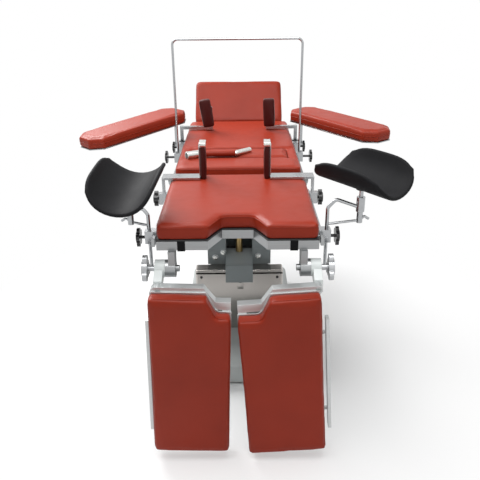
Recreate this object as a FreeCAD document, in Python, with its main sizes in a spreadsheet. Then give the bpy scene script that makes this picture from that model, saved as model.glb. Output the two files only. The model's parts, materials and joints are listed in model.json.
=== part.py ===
import FreeCAD, Part
import Sketcher
import math
import os
import re

# Operating table with hanging leg plates, arm boards, leg holders and rail supports.
# Millimetres. +Z up, origin on the floor under the column, -Y towards the foot end, +X right.

SIZES = {
    # Heights of the table top, built up from the top of the pads
    "pad_top": 765,
    "pad_thick": 42,
    "board_thick": 5,
    "frame_tall": 28,
    "tube_wide": 25,
    "pad_half": 240,
    "pad_round": 7,
    "corner_round": 14,
    # Seat section
    "seat_front": -670,
    "seat_back": -185,
    "notch_half_front": 88,
    "notch_half_deep": 48,
    "notch_deep": 82,
    "notch_rail": 25,
    "seat_bar_a": -330,
    "seat_bar_b": -255,
    "strap_in": 155,
    "strap_out": 178,
    "strap_thick": 2.5,
    # Back section with the bridge window
    "back_front": -108,
    "back_end": 684,
    "window_half": 203,
    "window_front": 32,
    "window_back": 168,
    "back_bar": 430,
    "back_axis_y": -146.5,
    "back_axis_z": 740,
    "back_pin": 8,
    "ear_round": 17,
    "seat_ear_thick": 8.5,
    "back_ear_thick": 12,
    # Bridge that rises through the window
    "bridge_gap": 3,
    "bridge_post_x": 170,
    "bridge_post": 8,
    "bridge_post_foot": 600,
    "guide_half": 14,
    "guide_tall": 22,
    # Head section, drawn flat and then raised
    "head_half": 218.5,
    "head_front": 716,
    "head_long": 240,
    "head_axis_y": 706,
    "head_axis_z": 732,
    "head_raise": 48,
    "head_ear_in": 90,
    "head_ear_thick": 20,
    "head_ear_round": 9,
    "head_pin": 4.5,
    # Rails for accessories
    "rail_gap": 9,
    "rail_in": "=pad_half + rail_gap",
    "rail_thick": 10,
    "rail_tall": 25,
    "standoff": 6,
    "seat_rail_front": -640,
    "seat_rail_back": -200,
    "back_rail_front": -60,
    "back_rail_back": 640,
    # Base and column
    "base_half": 230,
    "base_front": -420,
    "base_back": 430,
    "base_top": 82,
    "foot_tall": 12,
    "foot_radius": 32,
    "foot_inset": 60,
    "base_corner": 45,
    "base_edge": 10,
    "casing_half": 176,
    "casing_front": -150,
    "casing_step": -92,
    "casing_back": 150,
    "casing_rear_half": 117.5,
    "casing_wall": 3,
    "casing_top": 336,
    "lid_bottom": 343,
    "lid_top": 353,
    "lid_round": 6,
    "sleeve_half": 100,
    "sleeve_end": 85,
    "sleeve_wall": 6,
    "sleeve_foot": 20,
    "well_gap": 4,
    "well_floor": 18,
    "ram_radius": 40,
    "ram_top": 300,
    "ram_rod": 20,
    "running_gap": 0.05,
    # Tilt head on the column
    "cheek_in": 54,
    "cheek_out": 128,
    "cheek_half_deep": 92,
    "cheek_shoulder": 420,
    "trend_axis_z": 520,
    "cheek_boss": 40,
    "trunnion": 20,
    "cradle_half": 50,
    "roll_axis_z": 570,
    "roll_housing": 30,
    "roll_half": 60,
    "roll_pin": 18,
    "nose_front": -180,
    "nose_back": -18,
    "nose_bottom": 314,
    "nose_top": 390,
    "screw_y": -43,
    "screw_radius": 14,
    "screw_top": 477,
    "bolt_radius": 8,
    "bolt_tall": 5,
    # Beams that carry the seat
    "hanger_in": 64,
    "hanger_thick": 24,
    "hanger_round": 32,
    "beam_bottom": 600,
    "beam_tall": 20,
    "beam_in": 90,
    "beam_wide": 30,
    # Leg sections
    "leg_axis_y": -665,
    "leg_axis_z": 628.5,
    "disc_radius": 27,
    "disc_in": 186,
    "disc_mid": 217,
    "disc_out": 248,
    "disc_gap": 0.3,
    "drop_arm_out": 206,
    "leg_stem": 9,
    "leg_knob_near": 270,
    "leg_knob_far": 287,
    "leg_knob_radius": 43.5,
    "swing_x": 232,
    "swing_z": 600,
    "swing_pin": 8,
    "leg_in_left": 18,
    "leg_out_left": 256,
    "leg_in_right": -8,
    "leg_out_right": 236,
    "leg_pad_top": 600,
    "leg_pad_foot": 39,
    "leg_pad_front": -802,
    "leg_pad_back": -760,
    "leg_notch_out": 93,
    "leg_notch_in": 66,
    "leg_notch_low": 546,
    "leg_notch_foot": 538,
    "leg_frame_top": 612,
    "leg_frame_back": -727,
    "leg_rail_left": 261,
    "leg_rail_right": 250,
    "leg_rail_top": 507,
    "leg_rail_foot": 98,
    "leg_left_swing": 1.7,
    "leg_right_swing": 4.0,
    # Rail clamps and knobs
    "clamp_gap": 0.3,
    "clamp_lip": 5,
    "clamp_wall": 8,
    "clamp_reach": 35,
    "clamp_out": "=rail_in + clamp_reach",
    "upright_in": "=rail_in + rail_thick + 3",
    "lateral_upright_wide": 8,
    "shoulder_upright_wide": 14,
    "knob_stem": 5,
    "small_knob": 28.5,
    "arm_knob": 27,
    "frame_knob": 28.5,
    "holder_knob": 30,
    # Lateral supports
    "lateral_front": -262,
    "lateral_back": -238,
    "lateral_bar_back": -213,
    "lateral_bar_bottom": 772,
    "lateral_bar_thick": 8,
    "lateral_pad_thick": 22,
    "lateral_pad_front": -255,
    "lateral_pad_back": -205,
    "lateral_pad_bottom": 766,
    "lateral_pad_top": 903,
    "lateral_left_x": 112,
    "lateral_right_x": 92,
    "lateral_plate": 3,
    # Shoulder supports
    "shoulder_front": 484,
    "shoulder_back": 506,
    "shoulder_bar_bottom": 775,
    "shoulder_bar_tall": 14,
    "shoulder_pad_face": 453,
    "shoulder_pad_thick": 30,
    "shoulder_pad_wide": 53,
    "shoulder_pad_bottom": 790,
    "shoulder_pad_top": 920,
    "shoulder_pad_left_x": 137,
    "shoulder_pad_right_x": 144,
    "shoulder_pad_lean": 9,
    # Arm boards
    "arm_clamp_front": 428,
    "arm_clamp_back": 462,
    "arm_post_gap": 6,
    "arm_post_x": "=clamp_out + arm_post_gap",
    "arm_post": 8,
    "arm_board_bottom": 829,
    "arm_board_thick": 45,
    "arm_board_long": 512,
    "arm_board_half": 80,
    "arm_board_inset": 32,
    "arm_board_chamfer": 43,
    "arm_left_turn": 224.3,
    "arm_right_turn": -51.8,
    "arm_left_drop": 5.1,
    "arm_right_drop": 1.6,
    "arm_boss": 14,
    "arm_boss_tall": 6,
    # Screen frame over the chest
    "screen_y": 280,
    "screen_gap": 19,
    "screen_x": "=rail_in + screen_gap",
    "screen_rod": 5,
    "screen_top": 1196,
    "screen_bend": 22,
    "screen_clamp_half": 18,
    # Leg holders
    "holder_y": -585,
    "holder_clamp_half": 16,
    "holder_gap": 23,
    "holder_rod_x": "=rail_in + holder_gap",
    "holder_rod": 5.5,
    "holder_rod_foot": 585,
    "holder_top_left": 770,
    "holder_top_right": 788,
    "holder_elbow_x_left": 286,
    "holder_elbow_x_right": 296,
    "holder_elbow_z_left": 790,
    "holder_elbow_z_right": 815,
    "holder_post_left": 325,
    "holder_post_right": 370,
    "holder_post_z": 788,
    "brace_z": 735,
    "leg_corner": 9,
    "leg_bush": 13,
    "brace_rise": 12,
    "brace_rod": 4,
    "grip_reach": 14,
    "grip_rise": 13,
    "holder_bend": 14,
    "holder_lower": 9.25,
    "holder_barrel": 12.75,
    "holder_neck": 6.35,
    "holder_lower_z": 740,
    "holder_barrel_z": 776,
    "holder_neck_z": 822,
    "saddle_radius": 91,
    "saddle_half_angle": 77,
    "saddle_long": 254,
    "saddle_wall": 11,
    "saddle_z_left": 844,
    "saddle_z_right": 865,
    "saddle_boss_tall": 20,
    "saddle_neck_depth": 7,
    "saddle_boss": 18,
    # Crank handle that lies on the bridge
    "crank_grip": 16.5,
    "crank_body": 11,
    "crank_end": 12,
    "crank_lift": 0.3,
}

V = FreeCAD.Vector
doc = FreeCAD.newDocument("operating_table")
sheet = doc.addObject("Spreadsheet::Sheet", "sizes")
for row, (alias, number) in enumerate(SIZES.items(), start=1):
    sheet.set(f"A{row}", alias)
    sheet.set(f"B{row}", str(number))
    sheet.setAlias(f"B{row}", alias)
doc.recompute()

NODES = {}
PLANES = {"XY": "XY_Plane", "XZ": "XZ_Plane", "YZ": "YZ_Plane"}


def cells(text):
    """Turn the words of a size expression into names of cells of the sheet."""
    return re.sub(r"\b[a-z]\w*\b(?!\()", r"sizes.\g<0>", str(text))


def value(text):
    """Number that a size expression gives."""
    return float(sheet.evalExpression(cells(text)))


def bind(thing, prop, text):
    thing.setExpression(prop, cells(text))


def place(thing, x=0, y=0, z=0, axis=None, angle=0):
    """Put a piece at a bound place, turned about one of the row axes."""
    if axis:
        thing.Placement = FreeCAD.Placement(V(), FreeCAD.Rotation(V(*axis), angle))
    for letter, text in zip("xyz", (x, y, z)):
        bind(thing, "Placement.Base." + letter, text)
    return thing


def span(side, low, high):
    """Range along X on the right side (1) or mirrored to the left (-1)."""
    if side > 0:
        return (low, high)
    return (f"-({high})", f"-({low})")


def box(name, x, y, z):
    """Block between three pairs of low and high places."""
    block = doc.addObject("Part::Box", name)
    for prop, (low, high) in zip(("Length", "Width", "Height"), (x, y, z)):
        bind(block, prop, f"({high}) - ({low})")
    return place(block, x[0], y[0], z[0])


TURNS = {"X": ((0, 1, 0), 90), "Y": ((1, 0, 0), -90), "Z": ((0, 0, 1), 0)}


def rod(name, axis, start, end, u, v, radius):
    """Round bar along a row axis; u and v are its other two places in X, Y, Z order."""
    bar = doc.addObject("Part::Cylinder", name)
    bind(bar, "Radius", radius)
    bind(bar, "Height", f"({end}) - ({start})")
    where = {"X": (start, u, v), "Y": (u, start, v), "Z": (u, v, start)}[axis]
    return place(bar, *where, *TURNS[axis])


def outline(body, plane, points):
    """Closed sketch of straight lines on an origin plane, each corner bound to the sheet."""
    sketch = body.newObject("Sketcher::SketchObject", body.Name + "_outline")
    support = [f for f in body.Origin.OriginFeatures if f.Role == PLANES[plane]][0]
    sketch.AttachmentSupport = [(support, "")]
    sketch.MapMode = "FlatFace"
    corners = [V(value(a), value(b), 0) for a, b in points]
    count = len(corners)
    for i in range(count):
        sketch.addGeometry(Part.LineSegment(corners[i], corners[(i + 1) % count]), False)
    for i in range(count):
        sketch.addConstraint(Sketcher.Constraint("Coincident", i, 2, (i + 1) % count, 1))
    for i, (a, b) in enumerate(points):
        for kind, text in (("DistanceX", a), ("DistanceY", b)):
            index = sketch.addConstraint(Sketcher.Constraint(kind, -1, 1, i, 1, value(text)))
            sketch.setExpression(f"Constraints[{index}]", cells(text))
    return sketch


def plate(name, plane, points, low, high):
    """Profile on XY, XZ or YZ, made solid between two places on the third axis."""
    body = doc.addObject("PartDesign::Body", name)
    sketch = outline(body, plane, points)
    pad = body.newObject("PartDesign::Pad", name + "_pad")
    pad.Profile = sketch
    bind(pad, "Length", f"({high}) - ({low})")
    start = {"XY": (0, 0, low), "XZ": (0, high, 0), "YZ": (low, 0, 0)}[plane]
    doc.recompute()
    return place(body, *start)


def turned(name, points, angle=360):
    """Solid of revolution about its own X axis from points of place and radius."""
    body = doc.addObject("PartDesign::Body", name)
    sketch = outline(body, "XY", points)
    spin = body.newObject("PartDesign::Revolution", name + "_spin")
    spin.Profile = sketch
    spin.ReferenceAxis = (sketch, ["H_Axis"])
    spin.Angle = angle
    if angle < 360:
        spin.Midplane = True
    doc.recompute()
    return body


def join(name, *pieces):
    fused = doc.addObject("Part::MultiFuse", name)
    fused.Shapes = list(pieces)
    fused.Refine = True
    return fused


def minus(name, base, *tools):
    result = doc.addObject("Part::Cut", name)
    result.Base = base
    result.Tool = tools[0] if len(tools) == 1 else join(name + "_tools", *tools)
    return result


def group(name, *pieces):
    together = doc.addObject("Part::Compound", name)
    together.Links = list(pieces)
    return together


def rounded(name, base, radius, chosen):
    """Fillet the edges of a piece that a test picks."""
    doc.recompute()
    fillet = doc.addObject("Part::Fillet", name)
    fillet.Base = base
    size = value(radius)
    picked = [i for i, edge in enumerate(base.Shape.Edges, start=1) if chosen(edge)]
    fillet.Edges = [(i, size, size) for i in picked]
    return fillet


def along(edge, x, y, z):
    """True for a straight edge that runs in the given direction."""
    if edge.Curve.TypeId != "Part::GeomLine":
        return False
    way = edge.tangentAt(edge.FirstParameter)
    return abs(way.dot(V(x, y, z))) > 0.999


def at_height(edge, z):
    return all(abs(v.Point.z - z) < 0.01 for v in edge.Vertexes)


def bent_rod(name, points, radius, bend):
    """Round bar along straight runs joined by tangent arcs of one bend radius."""
    places = [V(*(value(c) for c in point)) for point in points]
    edges = []
    start = places[0]
    for before, corner, after in zip(places, places[1:], places[2:]):
        way_in = (corner - before).normalize()
        way_out = (after - corner).normalize()
        half_turn = way_in.getAngle(way_out) / 2
        reach = value(bend) * math.tan(half_turn)
        first = corner - way_in * reach
        last = corner + way_out * reach
        inward = (way_out - way_in).normalize()
        centre = corner + inward * (value(bend) / math.cos(half_turn))
        middle = centre - inward * value(bend)
        edges.append(Part.LineSegment(start, first).toShape())
        edges.append(Part.Arc(first, middle, last).toShape())
        start = last
    edges.append(Part.LineSegment(start, places[-1]).toShape())
    path = Part.Wire(edges)
    heading = places[1] - places[0]
    ring = Part.Wire(Part.Circle(places[0], heading, value(radius)).toShape())
    bar = doc.addObject("Part::Feature", name)
    bar.Shape = path.makePipeShell([ring], True, False)
    return bar


def turn_about(piece, centre, axis, angle):
    """Turn a finished piece about a line through a point."""
    doc.recompute()
    place_now = FreeCAD.Placement(V(), FreeCAD.Rotation(V(*axis), angle), V(*(value(c) for c in centre)))
    piece.Placement = place_now
    return piece


def node(label, piece):
    """Name a finished sub-part, which is written to a file of the same name."""
    piece.Label = label
    NODES[label] = piece
    return piece


def side_name(side):
    return "right" if side > 0 else "left"


def knob(name, side, near, far, y, z, radius, lobes, stem, stem_start):
    """Lobed hand knob on a stem along X, pointing outwards on its side."""
    body = doc.addObject("PartDesign::Body", name)
    plane = [f for f in body.Origin.OriginFeatures if f.Role == "YZ_Plane"][0]

    def disc(label, offset, disc_radius, length, reverse=False):
        sketch = body.newObject("Sketcher::SketchObject", name + label)
        sketch.AttachmentSupport = [(plane, "")]
        sketch.MapMode = "FlatFace"
        sketch.addGeometry(Part.Circle(V(0, value(offset), 0), V(0, 0, 1), value(disc_radius)), False)
        size = sketch.addConstraint(Sketcher.Constraint("Radius", 0, value(disc_radius)))
        sketch.setExpression(f"Constraints[{size}]", cells(disc_radius))
        sketch.addConstraint(Sketcher.Constraint("PointOnObject", 0, 3, -2))
        up = sketch.addConstraint(Sketcher.Constraint("DistanceY", -1, 1, 0, 3, value(offset)))
        sketch.setExpression(f"Constraints[{up}]", cells(offset))
        pad = body.newObject("PartDesign::Pad", name + label + "_pad")
        pad.Profile = sketch
        bind(pad, "Length", length)
        pad.Reversed = reverse
        return sketch, pad

    thick = f"({far}) - ({near})"
    disc("_hub", "0", f"({radius}) * 0.62", thick)
    disc("_stem", "0", stem, f"({near}) - ({stem_start})", reverse=True)
    sketch, lobe = disc("_lobe", f"({radius}) * 0.64", f"({radius}) * 0.36", f"({thick}) * 0.8")
    doc.recompute()
    ring = body.newObject("PartDesign::PolarPattern", name + "_ring")
    ring.Originals = [lobe]
    ring.Axis = (sketch, ["N_Axis"])
    ring.Angle = 360
    ring.Occurrences = lobes
    body.Tip = ring
    doc.recompute()
    if side > 0:
        return place(body, near, y, z)
    return place(body, f"-({near})", y, z, (0, 0, 1), 180)


def clamp_block(name, side, front, back):
    """Sliding clamp that hooks over a rail from outside."""
    points = [
        ("clamp_out", "rail_z + rail_tall / 2 + clamp_wall"),
        ("rail_in - clamp_gap - clamp_lip", "rail_z + rail_tall / 2 + clamp_wall"),
        ("rail_in - clamp_gap - clamp_lip", "rail_z + rail_tall / 2 - clamp_lip"),
        ("rail_in - clamp_gap", "rail_z + rail_tall / 2 - clamp_lip"),
        ("rail_in - clamp_gap", "rail_z + rail_tall / 2 + clamp_gap"),
        ("rail_in + rail_thick + clamp_gap", "rail_z + rail_tall / 2 + clamp_gap"),
        ("rail_in + rail_thick + clamp_gap", "rail_z - rail_tall / 2 - clamp_gap"),
        ("rail_in - clamp_gap", "rail_z - rail_tall / 2 - clamp_gap"),
        ("rail_in - clamp_gap", "rail_z - rail_tall / 2 + clamp_lip"),
        ("rail_in - clamp_gap - clamp_lip", "rail_z - rail_tall / 2 + clamp_lip"),
        ("rail_in - clamp_gap - clamp_lip", "rail_z - rail_tall / 2 - clamp_wall"),
        ("clamp_out", "rail_z - rail_tall / 2 - clamp_wall"),
    ]
    points = [(a, b.replace("rail_z", RAIL_Z)) for a, b in points]
    if side < 0:
        points = [(f"-({a})", b) for a, b in reversed(points)]
    return plate(name, "XZ", points, front, back)


# Heights that follow from the top of the pads
BOARD_TOP = "(pad_top - pad_thick)"
FRAME_TOP = "(pad_top - pad_thick - board_thick)"
FRAME_BOTTOM = "(pad_top - pad_thick - board_thick - frame_tall)"
RAIL_Z = "(pad_top - pad_thick - board_thick - frame_tall + 10)"


def seat_outline():
    """Plan of the seat section with its notch at the front edge."""
    return [
        ("-pad_half", "seat_front"),
        ("-notch_half_front", "seat_front"),
        ("-notch_half_deep", "seat_front + notch_deep"),
        ("notch_half_deep", "seat_front + notch_deep"),
        ("notch_half_front", "seat_front"),
        ("pad_half", "seat_front"),
        ("pad_half", "seat_back"),
        ("-pad_half", "seat_back"),
    ]


def rail(name, side, front, back, posts):
    bar = box(name + "_bar", span(side, "rail_in", "rail_in + rail_thick"), (front, back),
              (f"{RAIL_Z} - rail_tall / 2", f"{RAIL_Z} + rail_tall / 2"))
    low, high = span(side, "pad_half", "rail_in")
    spacers = [rod(f"{name}_post{i}", "X", low, high, y, RAIL_Z, "standoff") for i, y in enumerate(posts)]
    return join(name, bar, *spacers)


def make_base():
    slab = box("base_slab", ("-base_half", "base_half"), ("base_front", "base_back"), ("foot_tall", "base_top"))
    corners = rounded("base_corners", slab, "base_corner", lambda e: along(e, 0, 0, 1))
    top = value("base_top")
    edges = rounded("base_edges", corners, "base_edge", lambda e: at_height(e, top))
    well = box("base_well", ("-sleeve_half - well_gap", "sleeve_half + well_gap"),
               ("-sleeve_end - well_gap", "sleeve_end + well_gap"), ("well_floor", "base_top + 1"))
    node("base_cover", minus("base_body", edges, well))
    feet = []
    for sx in (-1, 1):
        for end, way in (("base_front", 1), ("base_back", -1)):
            feet.append(rod(f"foot_{sx}_{way}", "Z", "0", "foot_tall", f"{sx} * (base_half - foot_inset)",
                            f"{end} + {way} * foot_inset", "foot_radius"))
    node("levelling_feet", group("feet", *feet))


def column_outline(inset):
    """Plan of the column: a wide front casing and a narrower one behind it."""
    wide = f"(casing_half - {inset})"
    narrow = f"(casing_rear_half - {inset})"
    front = f"(casing_front + {inset})"
    step = f"(casing_step - {inset})"
    back = f"(casing_back - {inset})"
    return [(f"-{wide}", front), (wide, front), (wide, step), (narrow, step), (narrow, back),
            (f"-{narrow}", back), (f"-{narrow}", step), (f"-{wide}", step)]


def make_column():
    outer = plate("casing_outer", "XY", column_outline("0"), "base_top", "casing_top")
    soft = rounded("casing_soft", outer, "corner_round / 2", lambda e: along(e, 0, 0, 1))
    inner = plate("casing_inner", "XY", column_outline("casing_wall"), "base_top - 1", "casing_top + 1")
    node("column_casing", minus("casing_shell", soft, inner))
    barrel = rod("ram_barrel", "Z", "well_floor", "ram_top", "0", "0", "ram_radius")
    bore = rod("ram_bore", "Z", "well_floor + 6", "ram_top + 1", "0", "0", "ram_rod + running_gap")
    node("lift_cylinder", minus("ram_tube", barrel, bore))
    sleeve = box("sleeve_outer", ("-sleeve_half", "sleeve_half"), ("-sleeve_end", "sleeve_end"),
                 ("sleeve_foot", "lid_bottom"))
    hollow = box("sleeve_inner", ("-sleeve_half + sleeve_wall", "sleeve_half - sleeve_wall"),
                 ("-sleeve_end + sleeve_wall", "sleeve_end - sleeve_wall"),
                 ("sleeve_foot - 1", "lid_bottom - sleeve_wall"))
    node("lift_sleeve", minus("sleeve_tube", sleeve, hollow))
    node("piston_rod", rod("ram_piston", "Z", "well_floor + 8", "lid_bottom - sleeve_wall", "0", "0", "ram_rod"))
    lid = plate("lid_plate", "XY", column_outline("0"), "lid_bottom", "lid_top")
    corners = rounded("lid_corners", lid, "corner_round / 2", lambda e: along(e, 0, 0, 1))
    top = value("lid_top")
    node("column_lid", rounded("lid_soft", corners, "lid_round", lambda e: at_height(e, top)))


def make_tilt_head():
    profile = [("-cheek_half_deep", "lid_top"), ("cheek_half_deep", "lid_top"), ("cheek_half_deep", "cheek_shoulder"),
               ("cheek_boss", "trend_axis_z"), ("-cheek_boss", "trend_axis_z"),
               ("-cheek_half_deep", "cheek_shoulder")]
    pieces = []
    for side in (-1, 1):
        low, high = span(side, "cheek_in", "cheek_out")
        name = "cheek_" + side_name(side)
        wall = plate(name + "_wall", "YZ", profile, low, high)
        boss = rod(name + "_boss", "X", low, high, "0", "trend_axis_z", "cheek_boss")
        pieces += [wall, boss]
    pieces.append(box("nose_top_block", ("-cheek_in", "cheek_in"), ("nose_front", "nose_back"),
                      ("lid_top", "nose_top")))
    pieces.append(box("nose_drop", ("-cheek_in", "cheek_in"), ("nose_front", "casing_front - 1"),
                      ("nose_bottom", "lid_top + 1")))
    for x, z in (("-97", "385"), ("-64", "407"), ("77", "390")):
        pieces.append(rod("cheek_bolt", "Y", "-cheek_half_deep - bolt_tall", "-cheek_half_deep + 1", x, z,
                          "bolt_radius"))
    bores = rod("trend_bores", "X", "-cheek_out - 1", "cheek_out + 1", "0", "trend_axis_z",
                "trunnion + running_gap")
    node("tilt_head", minus("tilt_casting", join("tilt_mass", *pieces), bores))
    node("height_screw", rod("screw", "Z", "nose_top", "screw_top", "0", "screw_y", "screw_radius"))
    boss = rod("cradle_boss", "X", "-cradle_half", "cradle_half", "0", "trend_axis_z", "30")
    neck = box("cradle_neck", ("-cradle_half", "cradle_half"), ("-30", "30"), ("trend_axis_z", "roll_axis_z"))
    housing = rod("roll_tube", "Y", "-roll_half", "roll_half", "0", "roll_axis_z", "roll_housing")
    across = rod("trend_trunnions", "X", "-cheek_out + 4", "cheek_out - 4", "0", "trend_axis_z", "trunnion")
    lengthwise = rod("roll_trunnions", "Y", "-hanger_in - hanger_thick", "hanger_in + hanger_thick", "0",
                     "roll_axis_z", "roll_pin")
    node("tilt_cradle", join("cradle", boss, neck, housing, across, lengthwise))


def make_seat():
    hangers = []
    for way in (-1, 1):
        low, high = span(way, "hanger_in", "hanger_in + hanger_thick")
        hangers.append(rod(f"hanger_{way}", "Y", low, high, "0", "roll_axis_z", "hanger_round"))
        hangers.append(box(f"hanger_web_{way}", ("-hanger_round", "hanger_round"), (low, high),
                           ("roll_axis_z", "beam_bottom + 1")))
    reach = "hanger_in + hanger_thick"
    deck = box("cradle_deck", ("-beam_in - beam_wide", "beam_in + beam_wide"), (f"-({reach})", reach),
               ("beam_bottom", "beam_bottom + beam_tall / 2"))
    beams = []
    for side in (-1, 1):
        across = span(side, "beam_in", "beam_in + beam_wide")
        beams.append(box("beam_" + side_name(side), across, ("seat_bar_a", reach),
                         ("beam_bottom", "beam_bottom + beam_tall")))
        beams.append(box("riser_" + side_name(side), across, ("seat_bar_a", "seat_bar_b + tube_wide"),
                         ("beam_bottom", FRAME_BOTTOM)))
    bore = rod("roll_bore", "Y", f"-({reach}) - 1", f"{reach} + 1", "0", "roll_axis_z", "roll_pin + running_gap")
    node("seat_beams", minus("seat_carrier", join("seat_carrier_mass", deck, *hangers, *beams), bore))

    slab = plate("seat_slab", "XY", seat_outline(), FRAME_BOTTOM, FRAME_TOP)
    inner = "pad_half - tube_wide"
    holes = [
        box("seat_hole_a", (f"-({inner})", inner), ("seat_front + notch_deep + notch_rail", "seat_bar_a"),
            (f"{FRAME_BOTTOM} - 1", f"{FRAME_TOP} + 1")),
        box("seat_hole_b", (f"-({inner})", inner), ("seat_bar_a + tube_wide", "seat_bar_b"),
            (f"{FRAME_BOTTOM} - 1", f"{FRAME_TOP} + 1")),
        box("seat_hole_c", (f"-({inner})", inner), ("seat_bar_b + tube_wide", "seat_back - tube_wide"),
            (f"{FRAME_BOTTOM} - 1", f"{FRAME_TOP} + 1")),
    ]
    for side in (-1, 1):
        holes.append(box("seat_hole_" + side_name(side), span(side, "notch_half_front + tube_wide + 5", inner),
                         ("seat_front + tube_wide", "seat_front + notch_deep + notch_rail + 1"),
                         (f"{FRAME_BOTTOM} - 1", f"{FRAME_TOP} + 1")))
    frame = minus("seat_tubes", slab, *holes)
    extras = []
    for side in (-1, 1):
        name = side_name(side)
        ear = plate("seat_ear_" + name, "YZ",
                    [("seat_rail_back + 2", FRAME_BOTTOM), ("seat_back + 6", FRAME_BOTTOM),
                     ("back_axis_y + ear_round", "back_axis_z"), ("back_axis_y - ear_round", "back_axis_z"),
                     ("seat_rail_back + 2", FRAME_TOP)],
                    *span(side, "pad_half", "pad_half + seat_ear_thick"))
        boss = rod("seat_ear_boss_" + name, "X", *span(side, "pad_half", "pad_half + seat_ear_thick"),
                   "back_axis_y", "back_axis_z", "ear_round")
        pin = rod("back_pin_" + name, "X", *span(side, "pad_half", "pad_half + seat_ear_thick + back_ear_thick + 1"),
                  "back_axis_y", "back_axis_z", "back_pin")
        arm = plate("drop_arm_" + name, "YZ",
                    [("leg_axis_y - 20", FRAME_BOTTOM), ("leg_axis_y - 20", "leg_axis_z"),
                     ("leg_axis_y + 20", "leg_axis_z"), ("leg_axis_y + 32", FRAME_BOTTOM)],
                    *span(side, "disc_in", "drop_arm_out"))
        disc = rod("inner_disc_" + name, "X", *span(side, "disc_in", "disc_mid - disc_gap"), "leg_axis_y",
                   "leg_axis_z", "disc_radius")
        tip = rod("drop_tip_" + name, "X", *span(side, "disc_in - 11", "disc_in"), "leg_axis_y", "leg_axis_z", "10")
        extras += [ear, boss, pin, arm, disc, tip]
    node("seat_frame", join("seat_welded", frame, *extras))
    node("seat_board", group("seat_board_one", plate("seat_board_plate", "XY", seat_outline(), FRAME_TOP, BOARD_TOP)))
    pad = plate("seat_cushion", "XY", seat_outline(), BOARD_TOP, "pad_top")
    corners = rounded("seat_cushion_corners", pad, "corner_round", lambda e: along(e, 0, 0, 1))
    top = value("pad_top")
    node("seat_pad", rounded("seat_cushion_soft", corners, "pad_round", lambda e: at_height(e, top)))
    straps = []
    for side in (-1, 1):
        across = span(side, "strap_in", "strap_out")
        front = box("strap_front_" + side_name(side), across, ("seat_front - strap_thick", "seat_front"),
                    (FRAME_BOTTOM + " - strap_thick", FRAME_TOP))
        under = box("strap_under_" + side_name(side), across, ("seat_front - strap_thick", "seat_front + tube_wide"),
                    (FRAME_BOTTOM + " - strap_thick", FRAME_BOTTOM))
        straps.append(join("strap_" + side_name(side), front, under))
    node("pad_straps", group("straps", *straps))
    rails = [rail("seat_rail_" + side_name(side), side, "seat_rail_front", "seat_rail_back",
                  ("seat_rail_front + 40", "(seat_rail_front + seat_rail_back) / 2", "seat_rail_back - 40"))
             for side in (-1, 1)]
    node("seat_rails", group("seat_rail_pair", *rails))


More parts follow.
